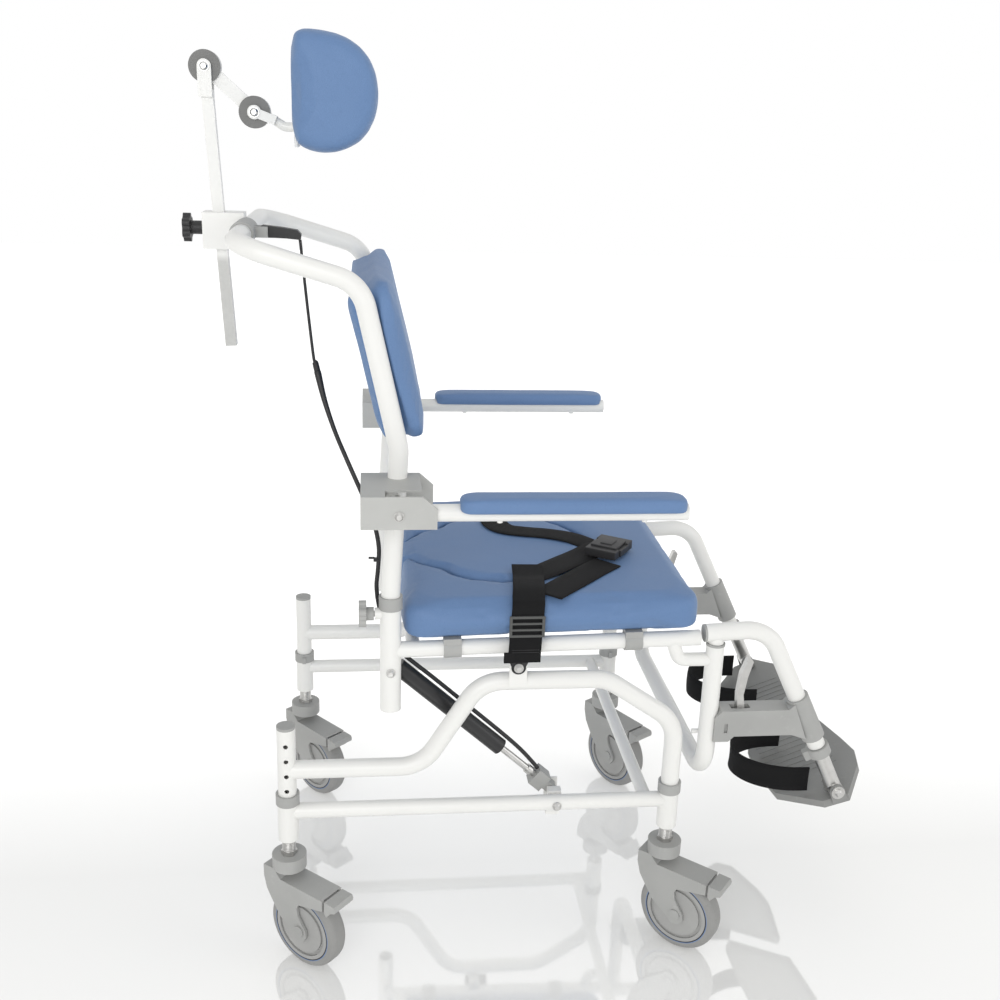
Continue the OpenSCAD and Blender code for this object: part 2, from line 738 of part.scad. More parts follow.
module seat_cushion() {
  color(vinyl_blue)
    cushion_place()
      difference() {
        cushion_shape(seat_crown);
        translate([0, 0, -over]) linear_extrude(height = seat_t * 2) polygon(aperture(0));
      }
}

module seat_infill() {
  color(vinyl_blue)
    cushion_place()
      intersection() {
        cushion_shape(seat_crown);
        linear_extrude(height = seat_t * 2) polygon(aperture(infill_gap));
      }
}

// Lap belt: straps round the right edge and over the cushion
strap_t = 2.5;
strap_w = 42;
strap_gap = 0.6;
strap_x = 301;
strap_z = seat_t + seat_crown + strap_gap;
// Turning points of the strap on the cushion, as shares of its length and width
belt_shares = [[0.44, -0.23], [0.785, -0.065], [0.66, 0.13]];
belt_start_x = strap_x - cushion_rear_x + strap_w / 2;
belt_side_y = seat_w / 2 + strap_gap + strap_t / 2;
belt_points = [for (p = belt_shares) [p.x * seat_len, p.y * seat_w]];

// Flat strap between two points on the cushion
module strap_flat(a, b) {
  v = b - a;
  translate([a.x, a.y, strap_z])
    rotate([0, 0, atan2(v.y, v.x)])
      translate([-strap_lap, -strap_w / 2, 0]) cube([norm(v) + 2 * strap_lap, strap_w, strap_t]);
}
strap_lap = 8;

// Strap down the cushion's edge, leaning out to the anchor plate; heights from the cushion's base
strap_out_y = anchor_face + strap_gap + strap_t / 2;

module strap_side(s) {
  middle = [
    [belt_side_y, strap_z + strap_t], [belt_side_y, strap_lean_z[0]],
    [strap_out_y, strap_lean_z[1]], [strap_out_y, strap_lean_z[2]]];
  translate([belt_start_x - strap_w / 2, 0, 0]) rotate([90, 0, 90])
    linear_extrude(height = strap_w)
      polygon(concat(
        [for (p = middle) [s * (p.x - strap_t / 2), p.y]],
        [for (i = [len(middle) - 1:-1:0]) [s * (middle[i].x + strap_t / 2), middle[i].y]]));
}
strap_lean_z = [2, -14, -26];

// Plate round the pivot bolt that holds the end of a strap
module belt_anchor(s) {
  difference() {
    union() {
      pin_y(pivot_x, pivot_z, s * (tab_face + face_gap), s * anchor_face, 2 * anchor_r);
      plate_y([[pivot_x - anchor_w / 2, pivot_z + anchor_h], [pivot_x - anchor_r, pivot_z],
        [pivot_x + anchor_r, pivot_z], [pivot_x + anchor_w / 2, pivot_z + anchor_h]],
        s * (tab_face + face_gap), s * anchor_face);
    }
    pin_y(pivot_x, pivot_z, s * tab_face, s * (anchor_face + over), pivot_bolt_d + 2 * slide_gap);
  }
}

module lap_belt() {
  color(web_black) {
    for (s = sides) belt_anchor(s);
    cushion_place() {
      for (s = sides) strap_side(s);
      strap_flat([belt_start_x, -belt_side_y + strap_lap], belt_points[0]);
      strap_flat(belt_points[0], belt_points[1]);
      strap_flat(belt_points[1], belt_points[2]);
      strap_flat(belt_points[2], [belt_start_x, belt_side_y - strap_lap]);
    }
  }
}

// Strap slide and buckle
anchor_w = 30;
anchor_h = 20;
anchor_r = 9;
slide_w = 46;
slide_h = 26;
slide_t = 2;
slide_z = 7;
buckle_l = 30;
buckle_t = 8;
buckle_z = strap_z + strap_t + seat_fit;

module belt_hardware() {
  color(dark_grey)
    cushion_place() {
      translate([belt_start_x - slide_w / 2, -belt_side_y - strap_t / 2 - seat_fit - slide_t, slide_z])
        cube([slide_w, slide_t, slide_h]);
      translate([belt_points[1].x - buckle_l / 2, belt_points[1].y - slide_w / 2, buckle_z])
        cube([buckle_l, slide_w, buckle_t]);
    }
}

// Back frame: one tube, down both sides and across as the push handle
back_foot_z = 455;
back_bend_r = 50;
back_lean = 3;
back_waist_z = 750;
back_shoulder_z = 958.2;
back_recline = 12.8;
back_start_z = 556;
back_waist_x = socket_x + (back_waist_z - back_start_z) * tan(back_lean);
back_shoulder_x = back_waist_x - (back_shoulder_z - back_waist_z) * tan(back_recline);
function back_half(s, extra) = [
  [socket_x, s * seat_y, back_foot_z - extra], [socket_x, s * seat_y, back_start_z],
  [back_waist_x, s * seat_y, back_waist_z], [back_shoulder_x, s * seat_y, back_shoulder_z],
  [-handle_back, s * seat_y, handle_z]];
function back_path(extra) = concat(back_half(-1, extra),
  [for (i = [4:-1:0]) back_half(1, extra)[i]]);

module back_frame() {
  color(paint_white)
    difference() {
      bent_bar(back_path(0), back_bend_r, frame_d);
      bent_bar(back_path(over), back_bend_r, frame_d - 2 * tube_wall);
    }
}

// Arm brackets: a folded channel round each back tube
bracket_t = 3;
bracket_len = 94;
bracket_rear = 47;
bracket_h = 42;
bracket_low = 17;
bracket_cut = 18;
bracket_chamfer = 16;
arm_pivot_x = 150;
arm_gap = 0.5;
bracket_out_y = arm_y + arm_d / 2 + arm_gap;
bracket_in_y = 197;
bracket_rear_x = arm_pivot_x - bracket_rear;
bracket_top_z = arm_z - bracket_low + bracket_h;
bracket_side = [
  [bracket_rear_x, arm_z - bracket_low], [bracket_rear_x + bracket_len, arm_z - bracket_low],
  [bracket_rear_x + bracket_len, bracket_top_z - bracket_chamfer],
  [bracket_rear_x + bracket_len - bracket_cut, bracket_top_z], [bracket_rear_x, bracket_top_z]];
notch_x = arm_pivot_x - arm_d / 2 - 2 * bracket_t;
notch_y = arm_y - arm_d / 2 - bracket_t;
arm_bolt_d = 8;

module arm_brackets() {
  color(plastic_grey)
    for (s = sides)
      difference() {
        union() {
          plate_y(bracket_side, s * bracket_out_y, s * (bracket_out_y + bracket_t));
          plate_y(bracket_side, s * (bracket_in_y - bracket_t), s * bracket_in_y);
          box([bracket_rear_x, min(s * bracket_in_y, s * bracket_out_y), bracket_top_z - bracket_t],
              [bracket_rear_x + bracket_len - bracket_cut, max(s * bracket_in_y, s * bracket_out_y),
                bracket_top_z]);
          box([bracket_rear_x, min(s * bracket_in_y, s * bracket_out_y), arm_z - bracket_low],
              [bracket_rear_x + bracket_t, max(s * bracket_in_y, s * bracket_out_y), bracket_top_z]);
        }
        box([notch_x, min(s * notch_y, s * bracket_out_y), bracket_top_z - 2 * bracket_t],
            [bracket_rear_x + bracket_len, max(s * notch_y, s * bracket_out_y), bracket_top_z + over]);
        pin_y(arm_pivot_x, arm_z, s * (bracket_in_y - 2 * bracket_t), s * (bracket_out_y + 2 * bracket_t),
          arm_bolt_d + 2 * seat_fit);
        bar_between([socket_x, s * seat_y, back_start_z], [back_waist_x, s * seat_y, back_waist_z],
          frame_d + 2 * seat_fit);
      }
}

// Arm pivot bolts and back pad screws

module back_fixings() {
  color(steel)
    for (s = sides) {
      pin_y(arm_pivot_x, arm_z, s * (seat_y + frame_d / 2 + seat_fit), s * (bracket_out_y + bracket_t),
        arm_bolt_d);
      dome_bolt_y(arm_pivot_x, arm_z, s * (bracket_out_y + bracket_t), s, bolt_head_d, bolt_head_h);
      dome_bolt_y(arm_pivot_x, arm_z, s * (bracket_in_y - bracket_t), -s, bolt_head_d, bolt_head_h);
    }
}

// Back pad: a board between the tubes and a cushion in front of them
pad_lean = 13.6;
pad_mid_z = 853;
pad_in_front = 15.5;
board_back = 6;
board_w = seat_track - frame_d - 2;
pad_w = 420;
pad_r = 28;
pad_edge = 9;
pad_steps = 5;

module back_pad_place() {
  translate([back_waist_x - (pad_mid_z - back_waist_z) * tan(back_recline), 0, pad_mid_z])
    rotate([0, -pad_lean, 0]) children();
}

module back_pad() {
  color(vinyl_blue)
    back_pad_place() {
      translate([-frame_d / 2 - board_back, -board_w / 2, -back_pad_h / 2 + pad_edge])
        cube([pad_in_front + board_back + frame_d / 2, board_w, back_pad_h - 2 * pad_edge]);
      translate([pad_in_front, 0, 0]) rotate([0, 90, 0])
        soft_block(round_rect(back_pad_h, pad_w, pad_r, pad_steps), back_pad_t, pad_edge,
          soft_levels, [0, 0]);
    }
}

// Arms
arm_end_cap = 3;
arm_pad_z = 4;
arm_pad_x = 224;
arm_pad_t = 19;
arm_pad_y = 287;
arm_pad_r = 16;
arm_pad_edge = 5;
arm_screw_shares = [0.18, 0.82];
arm_back = 11;

module arm_tube(s) {
  color(paint_white)
    difference() {
      union() {
        pin_x(s * arm_y, arm_z, arm_pivot_x - arm_back, arm_pivot_x + arm_len, arm_d);
        for (share = arm_screw_shares)
          translate([arm_pad_x + arm_pad_len * share, s * arm_y, arm_z - arm_d / 2 - screw_h])
            cylinder(h = screw_h + tube_wall, d = screw_d);
      }
      pin_x(s * arm_y, arm_z, arm_pivot_x + arm_d, arm_pivot_x + arm_len - arm_end_cap,
        arm_d - 2 * tube_wall);
      pin_y(arm_pivot_x, arm_z, s * (arm_y - arm_d), s * (arm_y + arm_d), arm_bolt_d + 2 * pin_gap);
    }
}

module arm_pad(s) {
  color(vinyl_blue)
    difference() {
      translate([arm_pad_x + arm_pad_len / 2, s * arm_pad_y, arm_z + arm_pad_z])
        soft_block(round_rect(arm_pad_len, arm_pad_w, arm_pad_r, pad_steps), arm_pad_t, arm_pad_edge,
          soft_levels, [0, 0]);
      pin_x(s * arm_y, arm_z, arm_pad_x - over, arm_pad_x + arm_pad_len + over, arm_d + 2 * seat_fit);
    }
}

// Headrest bar, its clamp on the push handle, and the two-link arm
bar_lean = 3.1;
bar_top = [-94.9, 1178];
bar_len = 337;
clamp_front = 55;
clamp_h = 48;
clamp_w = 40;
clamp_x = -107;
clamp_drop = 27.5;
clamp_low_z = handle_z - clamp_drop;
bar_gap = 0.4;
head_pivot_a = [-96.3, 1206.7];
head_pivot_b = [-34.2, 1151.9];
disc_d = 41;
disc_t = 4;
link_t = 8;
link_w = 18;
cheek_gap = 0.5;
head_pin_d = 8;
stem_w = 12;
head_knob_drop = 1;
head_knob_z = handle_z - head_knob_drop;

module head_clamp() {
  color(paint_white)
    difference() {
      box([clamp_x, -clamp_w / 2, clamp_low_z], [clamp_x + clamp_front, clamp_w / 2, clamp_low_z + clamp_h]);
      head_bar_solid(bar_gap, over);
      pin_x(0, head_knob_z, clamp_x - over, clamp_x + clamp_front / 2, knob_stem_d + 2 * pin_gap);
      pin_y(-handle_back, handle_z, -clamp_w, clamp_w, frame_d + 2 * seat_fit);
    }
}

module head_bar_solid(gap, extra) {
  w = bar_w + 2 * gap;
  translate([bar_top.x, 0, bar_top.y])
    rotate([0, 180 - bar_lean, 0])
      translate([-w / 2, -w / 2, 0]) cube([w, w, bar_len + extra]);
}

module head_knob() {
  bar_face_x = bar_top.x + (bar_top.y - head_knob_z) * tan(bar_lean) - bar_w / 2;
  color(web_black)
    translate([rear_x, 0, head_knob_z])
      rotate([0, 90, 0]) star_knob(head_hub_h, bar_face_x - clamp_x + knob_gap - bar_gap, knob_stem_d);
}

// Clevis at the top of the bar: two cheeks round the link
module head_bar() {
  cheek_y = link_t / 2 + disc_t + cheek_gap;
  color(paint_white)
    difference() {
      union() {
        head_bar_solid(0, 0);
        for (s = sides)
          pin_y(head_pivot_a.x, head_pivot_a.y, s * cheek_y, s * (cheek_y + link_w / 4), link_w);
        box([head_pivot_a.x - link_w / 2, -cheek_y - link_w / 4, bar_top.y - link_w / 2],
            [head_pivot_a.x + link_w / 2, cheek_y + link_w / 4, bar_top.y]);
        for (s = sides)
          box([head_pivot_a.x - link_w / 2, min(s * cheek_y, s * (cheek_y + link_w / 4)), bar_top.y - over],
              [head_pivot_a.x + link_w / 2, max(s * cheek_y, s * (cheek_y + link_w / 4)), head_pivot_a.y]);
      }
      pin_y(head_pivot_a.x, head_pivot_a.y, -clamp_w, clamp_w, head_pin_d + 2 * seat_fit);
    }
  color(steel) {
    pin_y(head_pivot_a.x, head_pivot_a.y, -cheek_y - link_w / 4, cheek_y + link_w / 4, head_pin_d);
    for (s = sides)
      dome_bolt_y(head_pivot_a.x, head_pivot_a.y, s * (cheek_y + link_w / 4), s, bolt_head_d, bolt_head_h);
  }
}

// Link between the pivots, with a dark disc on each side of both
module head_link() {
  v = head_pivot_b - head_pivot_a;
  difference() {
    union() {
      color(paint_white)
        translate([head_pivot_a.x, 0, head_pivot_a.y])
          rotate([0, atan2(-v.y, v.x), 0])
            box([0, -link_t / 2, -link_w / 2], [norm(v), link_t / 2, link_w / 2]);
      color(dark_grey)
        for (p = [head_pivot_a, head_pivot_b])
          pin_y(p.x, p.y, -link_t / 2 - disc_t, link_t / 2 + disc_t, disc_d);
    }
    for (p = [head_pivot_a, head_pivot_b])
      pin_y(p.x, p.y, -clamp_w, clamp_w, head_pin_d + 2 * pin_gap);
  }
}

// Stem: two cheeks round the link, a bent bar and the plate behind the pad
stem_angle = 20;
stem_reach = 26;
stem_knee = [4, 1134.5];
stem_bend_r = 10;
stem_plate_t = 4;
stem_plate_w = 60;
stem_plate_h = 50;
head_pad_x = 22;
head_pad_z = 1104.6;

module head_stem() {
  cheek_y = link_t / 2 + disc_t + cheek_gap;
  cheek_t2 = link_w / 4;
  start = head_pivot_b + stem_reach * [cos(stem_angle), -sin(stem_angle)];
  plate_x = head_pad_x - stem_plate_t - seat_fit;
  color(paint_white) {
    difference() {
      translate([head_pivot_b.x, 0, head_pivot_b.y])
        rotate([0, stem_angle, 0]) {
          for (s = sides) {
            pin_y(0, 0, s * cheek_y, s * (cheek_y + cheek_t2), link_w);
            box([0, min(s * cheek_y, s * (cheek_y + cheek_t2)), -stem_w / 2],
                [stem_reach, max(s * cheek_y, s * (cheek_y + cheek_t2)), stem_w / 2]);
          }
          box([disc_d / 2 + cheek_gap, -cheek_y - cheek_t2, -stem_w / 2],
              [stem_reach + stem_w / 4, cheek_y + cheek_t2, stem_w / 2]);
        }
      pin_y(head_pivot_b.x, head_pivot_b.y, -clamp_w, clamp_w, head_pin_d + 2 * seat_fit);
    }
    bent_bar([[start.x, 0, start.y], [stem_knee.x, 0, stem_knee.y], [plate_x, 0, stem_knee.y]],
      stem_bend_r, stem_w);
    box([plate_x, -stem_plate_w / 2, stem_knee.y - stem_plate_h / 2],
        [plate_x + stem_plate_t, stem_plate_w / 2, stem_knee.y + stem_plate_h / 2]);
  }
  color(steel) {
    pin_y(head_pivot_b.x, head_pivot_b.y, -cheek_y - cheek_t2, cheek_y + cheek_t2, head_pin_d);
    for (s = sides)
      dome_bolt_y(head_pivot_b.x, head_pivot_b.y, s * (cheek_y + cheek_t2), s, bolt_head_d, bolt_head_h);
  }
}

// Head pad: D-shaped section along Y with drawn-in ends
head_pad_shares = [
  [0.02, 0.07], [0.12, 0.03], [0.3, 0], [0.47, 0.005], [0.62, 0.04], [0.77, 0.1], [0.88, 0.19], [0.96, 0.32],
  [1, 0.5], [0.965, 0.66], [0.89, 0.78], [0.78, 0.87], [0.64, 0.935], [0.5, 0.97], [0.33, 0.99],
  [0.12, 1], [0.03, 0.985], [0, 0.95], [0, 0.5], [0, 0.12]];
head_pad_levels = [
  [1, 0], [0.4, 0.02], [0.1, 0.055], [0, 0.11], [0, 0.5], [0, 0.89], [0.1, 0.945], [0.4, 0.98], [1, 1]];
head_pad_edge = 16;

module head_pad() {
  color(vinyl_blue)
    translate([head_pad_x, head_pad_w / 2, head_pad_z])
      rotate([90, 0, 0])
        soft_block([for (p = head_pad_shares) [p.x * head_pad_t, p.y * head_pad_h]],
          head_pad_w, head_pad_edge, head_pad_levels, [head_pad_t / 3, head_pad_h / 2]);
}

// Tilt lever on the push handle
mount_y = [-95, -25];
mount_wall = 3;
ear_t = 5;
ear_gap = 0.5;
lever_w = 14;
lever_y = -54;
lever_ahead = 24;
lever_up = 0.5;
lever_pivot = [lever_ahead - handle_back, handle_z + lever_up];
lever_pin_d = 5;
lever_shares = [
  [-0.12, -0.15], [0.3, -0.15], [0.62, -0.16], [0.98, -0.19], [1, -0.05],
  [0.9, 0.06], [0.5, 0.12], [0, 0.17], [-0.12, 0.1]];
lever_len = 50;

module lever_mount() {
  color(plastic_grey)
    difference() {
      union() {
        pin_y(-handle_back, handle_z, mount_y[0], mount_y[1], frame_d + 2 * mount_wall);
        for (s = sides)
          box([-handle_back, lever_y + s * (lever_w / 2 + ear_gap + ear_t / 2) - ear_t / 2,
                lever_pivot.y - lever_w / 2],
              [lever_pivot.x + lever_w / 2, lever_y + s * (lever_w / 2 + ear_gap + ear_t / 2) + ear_t / 2,
                lever_pivot.y + lever_w / 2]);
      }
      pin_y(-handle_back, handle_z, mount_y[0] - over, mount_y[1] + over, frame_d + 2 * seat_fit);
    }
  color(steel)
    pin_y(lever_pivot.x, lever_pivot.y, lever_y - lever_w / 2 - 2 * ear_gap,
      lever_y + lever_w / 2 + 2 * ear_gap, lever_pin_d);
}

module tilt_lever() {
  color(web_black)
    difference() {
      plate_y([for (p = lever_shares) lever_pivot + p * lever_len],
        lever_y - lever_w / 2, lever_y + lever_w / 2);
      pin_y(lever_pivot.x, lever_pivot.y, lever_y - lever_w, lever_y + lever_w, lever_pin_d + 2 * pin_gap);
    }
}

// Control cable: [x, y, z] and radius at each hand-placed point
upper_route = [
  [24, -54, 993, 2.2], [26, -60, 974, 2.2], [33, -86, 915, 2.2], [41, -112, 852, 2.2], [43, -117, 843, 2.2],
  [44, -118, 841, 4], [47, -124, 830, 4], [47.5, -125, 828, 4.6], [56, -138, 795, 3.6], [69, -152, 758, 3],
  [85, -172, 724, 3], [105, -185, 680, 3], [119, -189, 645, 3], [126, -190, 610, 3], [125, -190, 578, 3],
  [123, -190, 556, 3], [124, -190, 538, 3]];
lower_route = [
  [124, -190, 537.6, 3], [128, -189, 515, 3], [135, -186, 490, 3], [143, -183, 470, 3], [154, -181, 453, 3],
  [172, -181, 436, 3], [202, -181, 410, 3], [250, -182, 367, 3], [300, -183, 322, 3], [328, -184, 295, 3],
  [345, -185, 275.5, 3], [353.8, -186, 264.8, 3]];
cable_sides = 8;
cable_steps = 3;

// Point on a smooth curve through four neighbours
function curve_at(a, b, c, d, t) = 0.5 * (2 * b + (c - a) * t + (2 * a - 5 * b + 4 * c - d) * t * t
  + (3 * b - a - 3 * c + d) * t * t * t);
function smooth_route(r) = let (n = len(r) - 1) concat(
  [for (i = [0:n - 1]) for (k = [0:cable_steps - 1])
    curve_at(r[max(i - 1, 0)], r[i], r[i + 1], r[min(i + 2, n)], k / cable_steps)],
  [r[n]]);
function place(p) = [p[0], p[1], p[2]];

module swept_cable(route) {
  path = smooth_route(route);
  last = len(path) - 1;
  points = [for (i = [0:last])
    let (
      t = unit(place(path[min(i + 1, last)]) - place(path[max(i - 1, 0)])),
      n = unit(cross(t, [0, 1, 0])),
      b = cross(t, n))
    for (k = [0:cable_sides - 1])
      let (a = 360 * k / cable_sides)
      place(path[i]) + path[i][3] * (cos(a) * n + sin(a) * b)];
  faces = concat(
    [[for (k = [cable_sides - 1:-1:0]) k]],
    [for (i = [0:last - 1]) for (k = [0:cable_sides - 1])
      let (a = i * cable_sides + k, b = i * cable_sides + (k + 1) % cable_sides)
      for (tri = [[a, b, a + cable_sides], [b, b + cable_sides, a + cable_sides]]) tri],
    [[for (k = [0:cable_sides - 1]) last * cable_sides + k]]);
  polyhedron(points = points, faces = faces, convexity = 4);
}

module cable_upper() {
  color(web_black) swept_cable(upper_route);
}

module cable_lower() {
  color(web_black) swept_cable(lower_route);
}

// Gas spring, in its own frame: X runs from its upper eye to its lower pin
spring_b = [lug_x, spring_y, low_rail_z];
spring_len = norm(spring_b - spring_a);
spring_angle = atan2(spring_a.z - spring_b.z, spring_b.x - spring_a.x);
eye_d = 20;
barrel_start = 14;
barrel_wall = 2;
barrel_end_t = 6;
barrel_end_gap = 104.4;
barrel_end = spring_len - barrel_end_gap;
piston_back = 139;
piston_t = 8;
nut_back = 51.4;
nut_len = 8;
nut_d = 14;
head_back = 37.4;
head_front = 16.4;
head_w = 22;
head_h = 26;
tongue_t = 21;
tongue_d = 13;

module spring_place() {
  translate(spring_a) rotate([0, spring_angle, 0]) children();
}

module spring_cylinder() {
  color(web_black)
    spring_place()
      difference() {
        union() {
          pin_y(0, 0, -spring_eye_w / 2, spring_eye_w / 2, eye_d);
          pin_x(0, 0, 0, barrel_start, spring_eye_w);
          pin_x(0, 0, barrel_start, barrel_end, spring_d);
        }
        pin_y(0, 0, -spring_eye_w, spring_eye_w, spring_bolt_d + 2 * pin_gap);
        pin_x(0, 0, barrel_start + barrel_end_t, barrel_end - barrel_end_t, spring_d - 2 * barrel_wall);
        pin_x(0, 0, barrel_end - 2 * barrel_end_t, barrel_end + over, spring_rod_d + 2 * pin_gap);
      }
}

module spring_rod() {
  end = spring_len - head_front - barrel_wall;
  piston_x = barrel_end - piston_back;
  color(steel)
    spring_place() {
      pin_x(0, 0, piston_x, end, spring_rod_d);
      pin_x(0, 0, piston_x, piston_x + piston_t, spring_d - 2 * barrel_wall - 2 * slide_gap);
      pin_x(0, 0, spring_len - nut_back, spring_len - nut_back + nut_len, nut_d);
    }
}

module release_head() {
  color(plastic_grey)
    spring_place()
      difference() {
        union() {
          box([spring_len - head_back, -head_w / 2, -head_h / 2],
              [spring_len - head_front, head_w / 2, head_h / 2]);
          box([spring_len - head_front, -tongue_t / 2, -tongue_d / 2],
              [spring_len, tongue_t / 2, tongue_d / 2]);
          pin_y(spring_len, 0, -tongue_t / 2, tongue_t / 2, tongue_d);
          pin_y(spring_len, 0, -lug_gap / 2 - lug_t, lug_gap / 2 + lug_t, lug_pin_d);
        }
        pin_x(0, 0, 0, spring_len - head_front - barrel_wall + seat_fit, spring_rod_d + 2 * seat_fit);
      }
}

// Footrests, drawn for the right side and mirrored for the left
hanger_back = 15.5;
hanger_rise = 3;
hanger_drop = 63.8;
hanger_run = 284.8;
hanger_bend_r = 50;
hanger_end = 206;
knee_x = ankle_x - hanger_run * cos(hanger_drop);
knee_z = ankle_z + hanger_run * sin(hanger_drop);
hanger_rear_x = swing_x - hanger_back;
hanger_rear_z = knee_z - (knee_x - hanger_rear_x) * tan(hanger_rise);
swing_pin_h = 45;
swing_collar_d = 22;
plug_t = 3;

function down_leg(run) = [knee_x + run * cos(hanger_drop), -seat_y, knee_z - run * sin(hanger_drop)];

module to_side(s) {
  mirror([0, s > 0 ? 1 : 0, 0]) children();
}

module hanger(s) {
  hanger_start = [hanger_rear_x, -seat_y, hanger_rear_z];
  hanger_knee = [knee_x, -seat_y, knee_z];
  color(paint_white)
    to_side(s)
      difference() {
        union() {
          bent_bar([hanger_start, hanger_knee, down_leg(hanger_end)], hanger_bend_r, frame_d);
          translate([swing_x, -seat_y, leg_top_z - swing_pin_h])
            cylinder(h = hanger_rear_z - leg_top_z + swing_pin_h, d = swing_pin_d);
          translate([swing_x, -seat_y, leg_top_z + bush_lip + face_gap])
            cylinder(h = hanger_rear_z - leg_top_z - bush_lip - face_gap, d = swing_collar_d);
        }
        bent_bar([hanger_start + hanger_back * 2 * unit(hanger_knee - hanger_start), hanger_knee,
          down_leg(hanger_end + over)], hanger_bend_r, frame_d - 2 * tube_wall);
      }
}

// End plug, latch housing and extension clamp
housing_w = 31;
housing_rear_x = 597;
housing_sleeve = [118, 190];
housing_sleeve_d = 33;
housing_low_z = 331;
housing_top_z = 371;
housing_foot = [22, 8];
housing_front_x = 712;
housing_corner = 10;
leg_clear = 0.7;
latch_pivot = [636, 361.6];
latch_pin_d = 5;
latch_slot = [622, 650];
latch_w = 12;
clamp_start = 207;
clamp_len = 15;
clamp_od = 33;
clamp_tab = [10, 14];
pinhole = [614, 344];
pinhole_size = [5, 14];

module hanger_fittings(s) {
  hanger_dir = unit([knee_x - hanger_rear_x, 0, knee_z - hanger_rear_z]);
  start = [hanger_rear_x, -seat_y, hanger_rear_z];
  color(plastic_grey)
    to_side(s) {
      bar_between(start - hanger_dir * plug_t, start, frame_d * plug_share);
      difference() {
        union() {
          plate_y([
            [housing_rear_x, housing_low_z - housing_foot.y],
            [housing_rear_x + housing_foot.x, housing_low_z - housing_foot.y],
            [housing_rear_x + housing_foot.x + housing_foot.y, housing_low_z],
            [housing_front_x, housing_low_z],
            [housing_front_x + housing_foot.x, housing_low_z - housing_foot.y],
            [housing_front_x, housing_top_z + housing_foot.y],
            [housing_front_x - housing_foot.y, housing_top_z],
            [housing_rear_x + housing_corner, housing_top_z],
            [housing_rear_x, housing_top_z - housing_corner]],
            -seat_y - housing_w / 2, -seat_y + housing_w / 2);
          bar_between(down_leg(housing_sleeve[0]), down_leg(housing_sleeve[1]), housing_sleeve_d);
        }
        bar_between(down_leg(0), down_leg(hanger_end), frame_d + 2 * seat_fit);
        translate([swing_x, -seat_y, 0]) cylinder(h = leg_top_z, d = frame_d + 2 * leg_clear);
        box([latch_slot[0], -seat_y - latch_w / 2 - ear_gap, latch_pivot.y - latch_w],
            [latch_slot[1], -seat_y + latch_w / 2 + ear_gap, housing_top_z + housing_foot.y]);
        box([pinhole.x - pinhole_size.x / 2, -seat_y - housing_w, pinhole.y - pinhole_size.y / 2],
            [pinhole.x + pinhole_size.x / 2, -seat_y - latch_w, pinhole.y + pinhole_size.y / 2]);
      }
      pin_y(latch_pivot.x, latch_pivot.y, -seat_y - housing_w / 2, -seat_y + housing_w / 2, latch_pin_d);
      extension_clamp();
    }
}
plug_share = 0.97;

module extension_clamp() {
  difference() {
    union() {
      bar_between(down_leg(clamp_start), down_leg(clamp_start + clamp_len), clamp_od);
      translate(down_leg(clamp_start + clamp_len / 2))
        rotate([0, hanger_drop, 0])
          translate([-clamp_len / 2, -clamp_tab.x / 2, -clamp_od / 2 - clamp_tab.y / 2])
            cube([clamp_len, clamp_tab.x, clamp_tab.y]);
    }
    bar_between(down_leg(clamp_start - over), down_leg(clamp_start + clamp_len + over),
      extension_d + 2 * slide_gap);
  }
}

latch_len = 85;
// Lever side view, as shares of its length, from the pivot
latch_shares = [
  [-0.059, 0], [-0.047, -0.059], [0.047, -0.059], [0.059, 0.024], [0.059, 0.118], [0.024, 0.353],
  [0.071, 0.682], [0.141, 0.953], [0.106, 1], [0.047, 0.988], [-0.047, 0.729], [-0.082, 0.353]];

module latch_lever(s) {
  color(light_grey)
    to_side(s)
      difference() {
        plate_y([for (p = latch_shares) latch_pivot + p * latch_len],
          -seat_y - latch_w / 2, -seat_y + latch_w / 2);
        pin_y(latch_pivot.x, latch_pivot.y, -seat_y - housing_w, -seat_y + housing_w,
          latch_pin_d + 2 * pin_gap);
      }
}

// Sliding extension with the footplate's hinge boss
extension_d = frame_d - 2 * tube_wall - 2 * slide_gap;
extension_start = 60;
boss_d = 22;
boss_w = 24;
ankle_bolt_d = 8;
ankle_washer_d = 20;
ankle_washer_t = 2;
ear_w = 4;

module foot_extension(s) {
  outer_y = seat_y + boss_w / 2 + face_gap + ear_w + face_gap;
  color(dark_grey)
    to_side(s)
      difference() {
        union() {
          bar_between(down_leg(extension_start), down_leg(hanger_run), extension_d);
          pin_y(ankle_x, ankle_z, -seat_y - boss_w / 2, -seat_y + boss_w / 2, boss_d);
        }
        bar_between(down_leg(extension_start - over), down_leg(hanger_run - boss_d),
          extension_d - 2 * tube_wall);
        pin_y(ankle_x, ankle_z, -seat_y - boss_w, -seat_y + boss_w, ankle_bolt_d + 2 * seat_fit);
      }
  color(steel)
    to_side(s) {
      pin_y(ankle_x, ankle_z, -outer_y, -2 * seat_y + outer_y, ankle_bolt_d);
      pin_y(ankle_x, ankle_z, -outer_y - ankle_washer_t, -outer_y, ankle_washer_d);
      dome_bolt_y(ankle_x, ankle_z, -outer_y - ankle_washer_t, -1, bolt_head_d, bolt_head_h);
      pin_y(ankle_x, ankle_z, -2 * seat_y + outer_y, -2 * seat_y + outer_y + nut_h, ankle_washer_d);
    }
}

// Footplate: flat tread with a skirt, two hinge ears and anti-slip ribs, level frame at the hinge
plate_len = 150;
plate_span = 200;
plate_drop = 12.5;
plate_skirt = 12;
plate_wall = 3;
